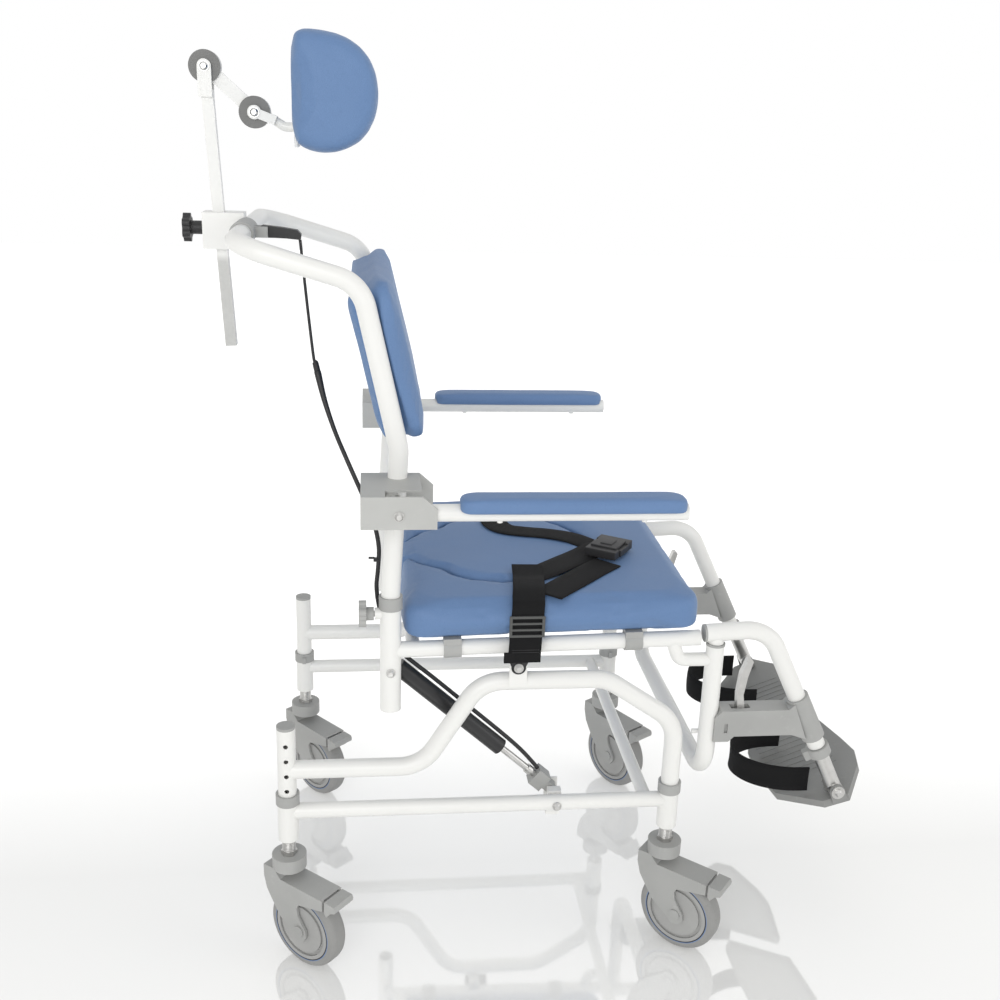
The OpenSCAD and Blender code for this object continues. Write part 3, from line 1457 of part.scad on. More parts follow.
// Outline from the hinge: share of the plate's length forward, share of its span from the outboard edge
plate_shares = [
  [-0.15, 0.02], [0.1, 0], [0.36, 0.29], [0.42, 0.46], [0.385, 0.67], [0.31, 1], [-0.5, 1], [-0.55, 0.9],
  [-0.55, 0.54], [-0.52, 0.3]];
plate_out_y = -224;
plate_outline = [for (p = plate_shares) [p.x * plate_len, plate_out_y + p.y * plate_span]];
plate_mid = [0, plate_out_y + plate_span / 2];
plate_inner = [for (p = plate_outline) plate_mid + (p - plate_mid) * (1 - plate_wall / norm(p - plate_mid))];
rib_count = 8;
rib_w = 3;
rib_h = 1;
rib_shares = [-0.45, 0.2, 0.42, 0.9];
front_x = ankle_x + max([for (p = plate_outline) p.x]) * cos(toe_up)
  + (plate_drop + plate_skirt) * sin(toe_up);

module plate_place() {
  translate([ankle_x, 0, ankle_z]) rotate([0, -toe_up, 0]) children();
}

module footplate(s) {
  ears = [-seat_y - boss_w / 2 - face_gap - ear_w, -seat_y + boss_w / 2 + face_gap];
  color(plastic_grey)
    to_side(s)
      plate_place() {
        difference() {
          union() {
            difference() {
              translate([0, 0, -plate_drop - plate_skirt])
                linear_extrude(height = plate_skirt) polygon(plate_outline);
              translate([0, 0, -plate_drop - plate_skirt - over])
                linear_extrude(height = plate_skirt - plate_t + over) polygon(plate_inner);
            }
            for (y = ears) {
              pin_y(0, 0, y, y + ear_w, boss_d);
              box([-boss_d / 2, y, -plate_drop - plate_t], [boss_d / 2, y + ear_w, 0]);
            }
            for (i = [0:rib_count - 1])
              let (along = rib_shares[2] + (rib_shares[3] - rib_shares[2]) * i / (rib_count - 1))
              box([rib_shares[0] * plate_len, plate_out_y + plate_span * along, -plate_drop - rib_h],
                  [rib_shares[1] * plate_len, plate_out_y + plate_span * along + rib_w,
                    -plate_drop + rib_h]);
          }
          pin_y(0, 0, -2 * seat_y, 0, ankle_bolt_d + 2 * pin_gap);
        }
      }
}

// Heel loops: webbing behind each plate
loop_mid = [-42, -124];
loop_r = [88, 66];
loop_t = 3;
loop_h = 40;
loop_z = 214;
loop_steps = 16;
loop_tab = [22, 14];

module heel_loop(s) {
  arc = [for (i = [0:loop_steps]) let (a = 90 + 180 * i / loop_steps) [cos(a), sin(a)]];
  ring = concat(
    [for (p = arc) loop_mid + [p.x * loop_r.x, p.y * loop_r.y]],
    [for (i = [loop_steps:-1:0])
      loop_mid + [arc[i].x * (loop_r.x - loop_t), arc[i].y * (loop_r.y - loop_t)]]);
  color(web_black)
    to_side(s) {
      translate([ankle_x, 0, loop_z]) linear_extrude(height = loop_h) polygon(ring);
      for (t = sides)
        difference() {
          box([ankle_x + loop_mid.x - over, loop_mid.y + t * (loop_r.y - loop_t / 2) - loop_t / 2,
                loop_z - loop_tab.x],
              [ankle_x + loop_mid.x + loop_tab.y, loop_mid.y + t * (loop_r.y - loop_t / 2) + loop_t / 2,
                loop_z + loop_h]);
          plate_place()
            translate([-plate_len, -seat_w, -plate_drop + face_gap - 2 * loop_tab.x])
              cube([2 * plate_len, seat_w, 2 * loop_tab.x]);
        }
    }
}

// The origin stands on the floor under the middle of the chair's length
head_hub_h = 16;
rear_x = clamp_x - knob_gap - star_t - head_hub_h;
mid_x = (front_x + rear_x) / 2;

module chair() {
  translate([-mid_x, 0, 0]) children();
}

chair() base_frame();
chair() sleeve_collars();
chair() base_fixings();
chair() castor_fork(castor_rr);  // castor_fork_rr
chair() castor_fork(castor_rl);  // castor_fork_rl
chair() castor_fork(castor_fr);  // castor_fork_fr
chair() castor_fork(castor_fl);  // castor_fork_fl
chair() castor_wheel(castor_rr);  // castor_wheel_rr
chair() castor_wheel(castor_rl);  // castor_wheel_rl
chair() castor_wheel(castor_fr);  // castor_wheel_fr
chair() castor_wheel(castor_fl);  // castor_wheel_fl
chair() castor_brake(castor_rr);  // castor_brake_rr
chair() castor_brake(castor_rl);  // castor_brake_rl
chair() castor_brake(castor_fr);  // castor_brake_fr
chair() castor_brake(castor_fl);  // castor_brake_fl
chair() side_frames();
chair() post_caps();
chair() pivot_bolts();
chair() seat_frame();
chair() frame_bushes();
chair() seat_fixings();
chair() lap_belt();
chair() belt_hardware();
chair() back_knob(-1);  // back_knob_r
chair() back_knob(1);  // back_knob_l
chair() seat_cushion();
chair() seat_infill();
chair() back_frame();
chair() arm_brackets();
chair() back_fixings();
chair() back_pad();
chair() lever_mount();
chair() cable_upper();
chair() tilt_lever();
chair() arm_tube(-1);  // arm_tube_r
chair() arm_tube(1);  // arm_tube_l
chair() arm_pad(-1);  // arm_pad_r
chair() arm_pad(1);  // arm_pad_l
chair() head_clamp();
chair() head_knob();
chair() head_bar();
chair() head_link();
chair() head_stem();
chair() head_pad();
chair() spring_cylinder();
chair() spring_rod();
chair() release_head();
chair() cable_lower();
chair() hanger(-1);  // hanger_r
chair() hanger(1);  // hanger_l
chair() hanger_fittings(-1);  // hanger_fittings_r
chair() hanger_fittings(1);  // hanger_fittings_l
chair() latch_lever(-1);  // latch_lever_r
chair() latch_lever(1);  // latch_lever_l
chair() foot_extension(-1);  // foot_extension_r
chair() foot_extension(1);  // foot_extension_l
chair() footplate(-1);  // footplate_r
chair() footplate(1);  // footplate_l
chair() heel_loop(-1);  // heel_loop_r
chair() heel_loop(1);  // heel_loop_l
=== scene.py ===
"""Dresses the tilting shower commode chair for its studio picture."""
import json
import math

import bmesh
import bpy
from mathutils import Matrix, Vector, noise
from mathutils.bvhtree import BVHTree

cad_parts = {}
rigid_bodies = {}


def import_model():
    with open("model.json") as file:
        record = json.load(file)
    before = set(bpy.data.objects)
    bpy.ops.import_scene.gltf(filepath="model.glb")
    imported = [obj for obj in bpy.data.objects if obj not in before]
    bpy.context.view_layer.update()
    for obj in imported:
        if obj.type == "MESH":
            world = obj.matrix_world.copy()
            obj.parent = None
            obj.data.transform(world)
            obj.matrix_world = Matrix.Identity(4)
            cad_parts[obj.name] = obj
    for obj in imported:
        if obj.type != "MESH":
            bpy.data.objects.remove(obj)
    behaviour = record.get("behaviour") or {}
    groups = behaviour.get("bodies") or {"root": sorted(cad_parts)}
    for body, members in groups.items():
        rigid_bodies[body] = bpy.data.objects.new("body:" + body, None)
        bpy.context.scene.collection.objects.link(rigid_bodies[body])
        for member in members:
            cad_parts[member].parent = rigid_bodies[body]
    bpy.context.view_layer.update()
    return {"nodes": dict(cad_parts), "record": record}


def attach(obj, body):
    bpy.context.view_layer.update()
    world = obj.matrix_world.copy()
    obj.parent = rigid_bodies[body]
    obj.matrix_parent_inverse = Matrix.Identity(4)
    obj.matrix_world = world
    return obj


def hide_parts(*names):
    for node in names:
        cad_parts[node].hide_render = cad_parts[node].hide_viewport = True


for leftover in list(bpy.data.objects):
    bpy.data.objects.remove(leftover)
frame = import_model()
nodes = frame["nodes"]
record = frame["record"]

MM = 0.001
CHAIR_MIDDLE = 362.8
SIDES = (("r", -1), ("l", 1))
WHITE_COAT = ((0.74, 0.738, 0.715), (0.79, 0.788, 0.768))

CAMERA_PLACE = (115.1, -1639, 1151.6)
CAMERA_TURN = (-0.1174, 0.3165, 0.0328)
CAMERA_LENS = 41.7
LIT_POINT = (330, 0, 500)
FLOOR_REACH = 9
SKY_RAMP = ((0.0, 0.95), (1.0, 0.46))
# Name, way out from the lit point and size in metres, and power in watts.
SOFT_BOXES = (
    ("key_box", (-0.9, -2.9, 1.1), (1.9, 1.5), 36),
    ("top_box", (0.3, 0.2, 3.0), (3.0, 3.0), 10),
    ("front_box", (2.6, -1.2, 0.9), (1.4, 1.6), 12),
)


def at(x, y, z):
    """A point of the chair, in millimetres from the rear stems, the middle and the floor."""
    return Vector(((x - CHAIR_MIDDLE) * MM, y * MM, z * MM))


# ---------------------------------------------------------------- camera and studio
def aim_camera():
    yaw, pitch, roll = CAMERA_TURN
    ahead = Vector((-math.sin(yaw) * math.cos(pitch), math.cos(yaw) * math.cos(pitch), -math.sin(pitch)))
    level = Vector((math.cos(yaw), math.sin(yaw), 0))
    upright = level.cross(ahead)
    right = math.cos(roll) * level + math.sin(roll) * upright
    top = math.cos(roll) * upright - math.sin(roll) * level
    lens = bpy.data.cameras.new("studio_camera")
    lens.lens = CAMERA_LENS
    lens.sensor_width = 36
    lens.clip_start = 0.05
    lens.clip_end = 60
    camera = bpy.data.objects.new("studio_camera", lens)
    bpy.context.scene.collection.objects.link(camera)
    turn = Matrix((right, top, -ahead)).transposed()
    camera.matrix_world = Matrix.Translation(at(*CAMERA_PLACE)) @ turn.to_4x4()
    bpy.context.scene.camera = camera


def soft_box(name, place, target, size, power):
    lamp = bpy.data.lights.new(name, "AREA")
    lamp.shape = "RECTANGLE"
    lamp.size, lamp.size_y = size
    lamp.energy = power
    obj = bpy.data.objects.new(name, lamp)
    bpy.context.scene.collection.objects.link(obj)
    away = (place - target).to_track_quat("Z", "Y")
    obj.matrix_world = Matrix.Translation(place) @ away.to_matrix().to_4x4()


# ---------------------------------------------------------------- finishes
class Wire:
    """A shader socket: a sum written with it adds the Math nodes."""

    def __init__(self, finish, socket):
        self.finish = finish
        self.socket = socket

    def maths(self, operation, first, second=None):
        sockets = {0: first} if second is None else {0: first, 1: second}
        return self.finish.node("ShaderNodeMath", {"operation": operation}, sockets)

    def __add__(self, other):
        return self.maths("ADD", self, other)

    __radd__ = __add__

    def __sub__(self, other):
        return self.maths("SUBTRACT", self, other)

    def __rsub__(self, other):
        return self.maths("SUBTRACT", other, self)

    def __mul__(self, other):
        return self.maths("MULTIPLY", self, other)

    __rmul__ = __mul__

    def __pow__(self, other):
        return self.maths("POWER", self, other)

    def __lt__(self, other):
        return self.maths("LESS_THAN", self, other)

    def __gt__(self, other):
        return self.maths("GREATER_THAN", self, other)

    def __abs__(self):
        return self.maths("ABSOLUTE", self)

    def sine(self):
        return self.maths("SINE", self)

    def at_least(self, other):
        return self.maths("MAXIMUM", self, other)


class Finish:
    """One material, built round a Principled shader."""

    def __init__(self, name, **fixed):
        self.material = bpy.data.materials.new(name)
        self.material.use_nodes = True
        self.tree = self.material.node_tree
        self.tree.nodes.clear()
        self.surface = self.tree.nodes.new("ShaderNodeBsdfPrincipled")
        end = self.tree.nodes.new("ShaderNodeOutputMaterial")
        self.tree.links.new(self.surface.outputs["BSDF"], end.inputs["Surface"])
        self.set(**fixed)

    def set(self, **sockets):
        for label, value in sockets.items():
            self.feed(self.surface.inputs[label.replace("_", " ")], value)
        return self

    def feed(self, socket, value):
        if isinstance(value, Wire):
            self.tree.links.new(value.socket, socket)
        elif socket.type == "RGBA" and len(value) == 3:
            socket.default_value = (*value, 1)
        else:
            socket.default_value = value

    def node(self, kind, settings=None, sockets=None, result=0):
        made = self.tree.nodes.new(kind)
        for label, value in (settings or {}).items():
            if label == "stops":
                self.set_stops(made.color_ramp, value)
            else:
                setattr(made, label, value)
        for key, value in (sockets or {}).items():
            self.feed(made.inputs[key], value)
        return Wire(self, made.outputs[result])

    def set_stops(self, ramp, stops):
        while len(ramp.elements) < len(stops):
            ramp.elements.new(0.5)
        for element, (place, value) in zip(ramp.elements, stops):
            element.position = place
            element.color = (*value, 1) if hasattr(value, "__len__") else (value, value, value, 1)

    def place(self):
        return self.node("ShaderNodeTexCoord", result="Object")

    def vector(self, operation, first, second=None, result=0):
        sockets = {0: first} if second is None else {0: first, 1: second}
        return self.node("ShaderNodeVectorMath", {"operation": operation}, sockets, result)

    def parts(self, vector):
        split = self.node("ShaderNodeSeparateXYZ", None, {0: vector}).socket.node
        return [Wire(self, socket) for socket in split.outputs]

    def noise(self, scale, detail=2.0, roughness=0.5, place=None):
        sockets = {"Vector": place or self.place(), "Scale": scale, "Detail": detail, "Roughness": roughness}
        return self.node("ShaderNodeTexNoise", None, sockets)

    def cells(self, scale, feature="F1", place=None):
        sockets = {"Vector": place or self.place(), "Scale": scale}
        return self.node("ShaderNodeTexVoronoi", {"feature": feature}, sockets)

    def ramp(self, value, *stops):
        return self.node("ShaderNodeValToRGB", {"stops": stops}, {0: value})

    def mix(self, mask, low, high):
        return self.node("ShaderNodeMix", {"data_type": "RGBA"}, {0: mask, 6: low, 7: high}, 2)

    def bump(self, height, depth, strength=1.0, over=None):
        sockets = {"Height": height, "Distance": depth, "Strength": strength}
        if over:
            sockets["Normal"] = over
        return self.node("ShaderNodeBump", None, sockets)

    def bolt_heads(self, spots):
        """Mask of round spots seen along the width: (x, z, radius), in millimetres."""
        across, _, up = self.parts(self.place())
        mask = None
        for x, z, radius in spots:
            middle = at(x, 0, z)
            reach = (across - middle.x) ** 2 + (up - middle.z) ** 2
            spot = reach < (radius * MM) ** 2
            mask = spot if mask is None else mask.at_least(spot)
        return mask


def scuffed_white(name, bolts=(), grey_below=None):
    """Powder coat with a faint orange peel, and small dull marks."""
    coat = Finish(name, Specular_IOR_Level=0.45)
    clouds = coat.noise(7, 3)
    colour = coat.mix(clouds, *WHITE_COAT)
    marks = coat.ramp(coat.noise(38, 8, 0.72), (0.0, 0), (0.66, 0), (0.74, 1))
    colour = coat.mix(marks * 0.22, colour, (0.52, 0.51, 0.48))
    roughness = 0.27 + clouds * 0.08 + marks * 0.15
    if grey_below is not None:
        # Below the given height the coat turns grey and half metallic.
        up = coat.parts(coat.place())[2]
        grey_lower_end = coat.ramp((up - grey_below) * 40 + 0.5, (0.3, 1), (0.7, 0))
        lower_end_clouds = coat.noise(60, 6, 0.7)
        colour = coat.mix(grey_lower_end * 0.8, colour, coat.mix(lower_end_clouds, (0.34, 0.34, 0.33), (0.56, 0.56, 0.54)))
        coat.set(Metallic=grey_lower_end * 0.55)
    if bolts:
        mask = coat.bolt_heads(bolts)
        colour = coat.mix(mask, colour, (0.55, 0.55, 0.54))
        coat.set(Metallic=mask)
    peel = coat.bump(coat.noise(520, 2), 0.00022, 0.5)
    return coat.set(Base_Color=colour, Roughness=roughness, Normal=peel).material


def moulded(name, tone, light=1.25, gloss=0.46, bolts=()):
    """Moulded plastic with a spark-eroded grain and rubbed high spots."""
    shell = Finish(name, Specular_IOR_Level=0.4)
    clouds = shell.noise(11, 4)
    colour = shell.mix(clouds, tuple(v * 0.86 for v in tone), tuple(v * light for v in tone))
    rubbed = shell.ramp(shell.noise(55, 7, 0.7), (0.0, 0), (0.6, 0), (0.78, 1))
    colour = shell.mix(rubbed * 0.25, colour, tuple(min(1, v * 1.7 + 0.02) for v in tone))
    if bolts:
        mask = shell.bolt_heads(bolts)
        colour = shell.mix(mask, colour, (0.5, 0.5, 0.49))
        shell.set(Metallic=mask)
    grain = shell.bump(shell.noise(1500, 2, 0.6), 0.00018, 0.6)
    return shell.set(Base_Color=colour, Roughness=gloss + clouds * 0.12, Normal=grain).material


def zinc_steel(name, tone=(0.58, 0.575, 0.56)):
    metal = Finish(name, Metallic=1.0)
    clouds = metal.noise(45, 5, 0.65)
    colour = metal.mix(clouds, tuple(v * 0.72 for v in tone), tuple(min(1, v * 1.25) for v in tone))
    lines = metal.noise(260, 2, 0.5, metal.vector("MULTIPLY", metal.place(), (1, 6, 1)))
    return metal.set(Base_Color=colour, Roughness=0.24 + clouds * 0.2,
                     Normal=metal.bump(lines, 0.0001, 0.5)).material


def black_enamel(name):
    enamel = Finish(name, Specular_IOR_Level=0.5)
    clouds = enamel.noise(16, 4)
    colour = enamel.mix(clouds, (0.006, 0.006, 0.007), (0.022, 0.022, 0.023))
    scratches = enamel.ramp(enamel.noise(70, 8, 0.75), (0.0, 0), (0.68, 0), (0.8, 1))
    colour = enamel.mix(scratches * 0.4, colour, (0.10, 0.10, 0.10))
    return enamel.set(Base_Color=colour, Roughness=0.34 + clouds * 0.12,
                      Normal=enamel.bump(enamel.noise(700, 2), 0.0001, 0.5)).material


def blue_vinyl(name):
    """Coated cloth over foam: leather grain with painted shade in its creases, soft dents and duller rubbed
    places.
    """
    skin = Finish(name, Specular_IOR_Level=0.28, Sheen_Weight=0.02, Sheen_Roughness=0.5)
    clouds = skin.noise(9, 4)
    pores = skin.cells(1050)
    creases = skin.cells(620, "DISTANCE_TO_EDGE")
    colour = skin.mix(clouds, (0.114, 0.202, 0.376), (0.141, 0.237, 0.425))
    # Painted shade: the grain's creases are painted a darker blue.
    colour = skin.mix(skin.ramp(creases, (0.0, 1), (0.12, 0)) * 0.35, colour, (0.078, 0.142, 0.275))
    grain = skin.bump(skin.ramp(creases, (0.0, 0), (0.25, 1)), 0.00022, 0.55)
    grain = skin.bump(pores, 0.0001, 0.35, grain)
    dents = skin.bump(skin.noise(26, 3, 0.55), 0.0012, 0.35, grain)
    return skin.set(Base_Color=colour, Roughness=0.40 + clouds * 0.16, Normal=dents).material


def webbing_finish(name, tone=(0.009, 0.009, 0.0095), rib=0.0017):
    """Woven strap, read from the strap's own UV map in metres."""
    weave = Finish(name, Specular_IOR_Level=0.1, Sheen_Weight=0.02, Sheen_Roughness=0.4)
    across, along, _ = weave.parts(weave.node("ShaderNodeUVMap", {"uv_map": "run"}))
    turn = 2 * math.pi / rib
    warp = (across * turn).sine()
    weft = (along * turn + across * turn * 0.5).sine()
    yarn = warp * weft * 0.5 + 0.5
    edge = weave.ramp(abs(warp), (0.0, 0), (0.35, 1))
    fuzz = weave.noise(420, 5, 0.7)
    dark = tuple(v * 0.35 for v in tone)
    pale = tuple(v * 2.4 for v in tone)
    colour = weave.mix(yarn * 0.6 + fuzz * 0.4, dark, pale)
    height = yarn * 0.7 + edge * 0.3
    relief = weave.bump(fuzz, 0.0002, 0.4, weave.bump(height, 0.0005, 0.9))
    return weave.set(Base_Color=colour, Roughness=0.66 + fuzz * 0.2, Normal=relief).material


TREAD_RADIUS = 0.0475
JOINT_RADIUS = 0.0470
BLUE_RADIUS = 0.0482
DUSTY_RADIUS = 0.052
JOINT_HALF = 0.0008
BLUE_HALF = 0.0007


def castor_wheel_finish(name, axle, spin):
    """Grey tread on a grey core, with the dark joint and a faint blue line between them."""
    tyre = Finish(name, Specular_IOR_Level=0.35)
    out = tyre.vector("CROSS_PRODUCT", tyre.vector("SUBTRACT", tyre.place(), tuple(axle)), tuple(spin))
    radius = tyre.vector("LENGTH", out, result=1)
    clouds = tyre.noise(24, 5, 0.6)
    core = tyre.mix(clouds, (0.30, 0.30, 0.295), (0.40, 0.40, 0.39))
    tread = tyre.mix(clouds, (0.235, 0.235, 0.23), (0.32, 0.318, 0.31))
    colour = tyre.mix(radius > TREAD_RADIUS, core, tread)
    blue = abs(radius - BLUE_RADIUS) < BLUE_HALF
    joint = abs(radius - JOINT_RADIUS) < JOINT_HALF
    colour = tyre.mix(blue * 0.75, colour, (0.12, 0.22, 0.45))
    colour = tyre.mix(joint, colour, (0.035, 0.035, 0.036))
    dust = tyre.ramp(tyre.noise(46, 7, 0.7), (0.0, 0), (0.6, 0), (0.8, 1)) * (radius > DUSTY_RADIUS)
    colour = tyre.mix(dust * 0.45, colour, (0.13, 0.125, 0.115))
    relief = tyre.bump(1 - joint, 0.0008, 0.8, tyre.bump(tyre.noise(1300, 2), 0.00015, 0.5))
    return tyre.set(Base_Color=colour, Roughness=0.5 + clouds * 0.15, Normal=relief).material


def pale_floor(name):
    """Polished white floor that glows, standing in for bounce light, with a painted shadow: darker and dimmer
    under the chair and towards the camera, brighter far off.
    """
    floor = Finish(name, IOR=3.0)
    near = floor.parts(floor.place())[1]
    # Painted shadow: colour and glow are lowest under the chair, stay low towards the camera and rise far
    # off.
    painted_shadow_fade = floor.ramp(near * 0.6 + 0.5, (0.0, 0.1), (0.48, 0.05), (0.76, 0.6), (1.0, 1))
    clouds = floor.noise(0.8, 2)
    tone = floor.mix(clouds, (0.735, 0.735, 0.725), (0.765, 0.765, 0.755))
    return floor.set(Base_Color=floor.mix(painted_shadow_fade, tone, (0.93, 0.93, 0.93)), Roughness=0.03 + clouds * 0.02,
                     Emission_Color=(1, 1, 0.99), Emission_Strength=0.15 + painted_shadow_fade * 0.33).material


def light_sky():
    """White behind the chair and in reflections, and a dimmer sky overhead that lights it."""
    world = bpy.data.worlds.new("studio_world")
    world.use_nodes = True
    tree = world.node_tree
    tree.nodes.clear()
    end = tree.nodes.new("ShaderNodeOutputWorld")
    seen = tree.nodes.new("ShaderNodeBackground")
    seen.inputs["Strength"].default_value = 1.0
    seen.inputs["Color"].default_value = (1, 1, 1, 1)
    lit = tree.nodes.new("ShaderNodeBackground")
    way = tree.nodes.new("ShaderNodeTexCoord")
    split = tree.nodes.new("ShaderNodeSeparateXYZ")
    ramp = tree.nodes.new("ShaderNodeValToRGB")
    for element, (place, value) in zip(ramp.color_ramp.elements, SKY_RAMP):
        element.position = place
        element.color = (value, value, value * 0.99, 1)
    rays = tree.nodes.new("ShaderNodeLightPath")
    either = tree.nodes.new("ShaderNodeMath")
    either.operation = "MAXIMUM"
    pick = tree.nodes.new("ShaderNodeMixShader")
    tree.links.new(way.outputs["Generated"], split.inputs[0])
    tree.links.new(split.outputs["Z"], ramp.inputs[0])
    tree.links.new(ramp.outputs[0], lit.inputs["Color"])
    tree.links.new(rays.outputs["Is Camera Ray"], either.inputs[0])
    tree.links.new(rays.outputs["Is Glossy Ray"], either.inputs[1])
    tree.links.new(either.outputs[0], pick.inputs[0])
    tree.links.new(lit.outputs[0], pick.inputs[1])
    tree.links.new(seen.outputs[0], pick.inputs[2])
    tree.links.new(pick.outputs[0], end.inputs["Surface"])
    bpy.context.scene.world = world


def build_studio():
    """Pale floor, with soft light from the camera's side and from above."""
    mesh = bpy.data.meshes.new("floor")
    corners = [(x * FLOOR_REACH, y * FLOOR_REACH, 0) for x, y in ((-1, -1), (1, -1), (1, 1), (-1, 1))]
    mesh.from_pydata(corners, [], [(0, 1, 2, 3)])
    floor = bpy.data.objects.new("studio_floor", mesh)
    bpy.context.scene.collection.objects.link(floor)
    mesh.materials.append(pale_floor("pale_floor"))
    light_sky()
    target = at(*LIT_POINT)
    for name, way, size, power in SOFT_BOXES:
        soft_box(name, target + Vector(way), target, size, power)
    bpy.context.scene.view_settings.view_transform = "Standard"


# ---------------------------------------------------------------- mesh helpers
def add_piece(name, mesh, body, finish):
    obj = bpy.data.objects.new(name, mesh)
    bpy.context.scene.collection.objects.link(obj)
    mesh.materials.clear()
    mesh.materials.append(finish)
    for face in mesh.polygons:
        face.use_smooth = True
    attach(obj, body)
    return obj


def settled(obj):
    """The mesh an object shows with its modifiers, as a mesh of its own."""
    graph = bpy.context.evaluated_depsgraph_get()
    return bpy.data.meshes.new_from_object(obj.evaluated_get(graph))


def scratch_object(name, data):
    obj = bpy.data.objects.new(name, data)
    bpy.context.scene.collection.objects.link(obj)
    return obj


def drop(obj):
    bpy.data.objects.remove(obj)


def close_up(bm):
    bmesh.ops.remove_doubles(bm, verts=bm.verts, dist=1e-6)
    bmesh.ops.recalc_face_normals(bm, faces=bm.faces)


def smooth_line(points, steps):
    """Points on a smooth curve through the given ones, each a tuple of numbers."""
    line = []
    last = len(points) - 1
    for i in range(last):
        a, b = points[max(i - 1, 0)], points[i]
        c, d = points[i + 1], points[min(i + 2, last)]
        for k in range(steps):
            t = k / steps
            line.append(tuple(
                0.5 * (2 * q + (r - p) * t + (2 * p - 5 * q + 4 * r - s) * t * t
                       + (3 * q - p - 3 * r + s) * t ** 3)
                for p, q, r, s in zip(a, b, c, d)))
    line.append(tuple(points[-1]))
    return line


def hose(name, route, body, finish, sides=14, steps=6):
    """Round cable through (x, y, z, radius) points, in millimetres."""
    line = smooth_line(route, steps)
    centres = [at(*p[:3]) for p in line]
    bm = bmesh.new()
    rings = []
    across = Vector((0, 1, 0))
    for i, centre in enumerate(centres):
        ahead = (centres[min(i + 1, len(centres) - 1)] - centres[max(i - 1, 0)]).normalized()
        side = ahead.cross(across).normalized()
        across = side.cross(ahead).normalized()
        radius = line[i][3] * MM
        rings.append([bm.verts.new(centre + radius * (math.cos(a) * side + math.sin(a) * across))
                      for a in (2 * math.pi * k / sides for k in range(sides))])
    for low, high in zip(rings, rings[1:]):
        for k in range(sides):
            bm.faces.new((low[k], low[(k + 1) % sides], high[(k + 1) % sides], high[k]))
    bm.faces.new(list(reversed(rings[0])))
    bm.faces.new(rings[-1])
    close_up(bm)
    mesh = bpy.data.meshes.new(name)
    bm.to_mesh(mesh)
    bm.free()
    return add_piece(name, mesh, body, finish)


def strap(name, stations, width, thick, body, finish, steps=6, curl=0.0):
    """Webbing through (x, y, z, ax, ay, az) stations: a place, and the way the strap's width lies."""
    line = smooth_line(stations, steps)
    centres = [at(*p[:3]) for p in line]
    bm = bmesh.new()
    uv_of = {}
    half = width / 2
    lip = thick / 2
    turn_in = half - lip * 0.7
    profile = [(-half, 0), (-turn_in, lip), (-half * 0.5, lip), (0, lip), (half * 0.5, lip), (turn_in, lip),
               (half, 0), (turn_in, -lip), (half * 0.5, -lip), (0, -lip), (-half * 0.5, -lip),
               (-turn_in, -lip)]
    rings = []
    run = 0.0
    for i, centre in enumerate(centres):
        before, after = centres[max(i - 1, 0)], centres[min(i + 1, len(centres) - 1)]
        ahead = (after - before).normalized()
        across = Vector(line[i][3:6])
        across = (across - across.dot(ahead) * ahead).normalized()
        out = across.cross(ahead)
        if i:
            run += (centre - centres[i - 1]).length
        ring = []
        for s, n in profile:
            bow = curl * (1 - (s / half) ** 2)
            vert = bm.verts.new(centre + MM * (s * across + (n + bow) * out))
            uv_of[vert] = (s * MM, run)
            ring.append(vert)
        rings.append(ring)
    count = len(profile)
    for low, high in zip(rings, rings[1:]):
        for k in range(count):
            bm.faces.new((low[k], low[(k + 1) % count], high[(k + 1) % count], high[k]))
    bm.faces.new(list(reversed(rings[0])))
    bm.faces.new(rings[-1])
    bmesh.ops.recalc_face_normals(bm, faces=bm.faces)
    layer = bm.loops.layers.uv.new("run")
    for face in bm.faces:
        for loop in face.loops:
            loop[layer].uv = uv_of[loop.vert]
    mesh = bpy.data.meshes.new(name)
    bm.to_mesh(mesh)
    bm.free()
    piece = add_piece(name, mesh, body, finish)
    return piece, width * MM, run


def blocks(name, boxes, body, finish, turn=None, edge=0.0012):
    """Small moulded part from rounded blocks, each (centre, size) in millimetres, placed by a matrix."""
    bm = bmesh.new()
    for centre, size in boxes:
        made = bmesh.ops.create_cube(bm, size=1)["verts"]
        bmesh.ops.scale(bm, vec=Vector(size) * MM, verts=made)
        bmesh.ops.translate(bm, vec=Vector(centre) * MM, verts=made)
    bmesh.ops.bevel(bm, geom=list(bm.edges), offset=edge, segments=3, profile=0.6, affect="EDGES",
                    clamp_overlap=True)
    bmesh.ops.transform(bm, matrix=turn or Matrix.Identity(4), verts=bm.verts)
    mesh = bpy.data.meshes.new(name)
    bm.to_mesh(mesh)
    bm.free()
    return add_piece(name, mesh, body, finish)


# ---------------------------------------------------------------- padded pieces
FOAM_PUSH = 3.0
DENT_WAVE = 0.05


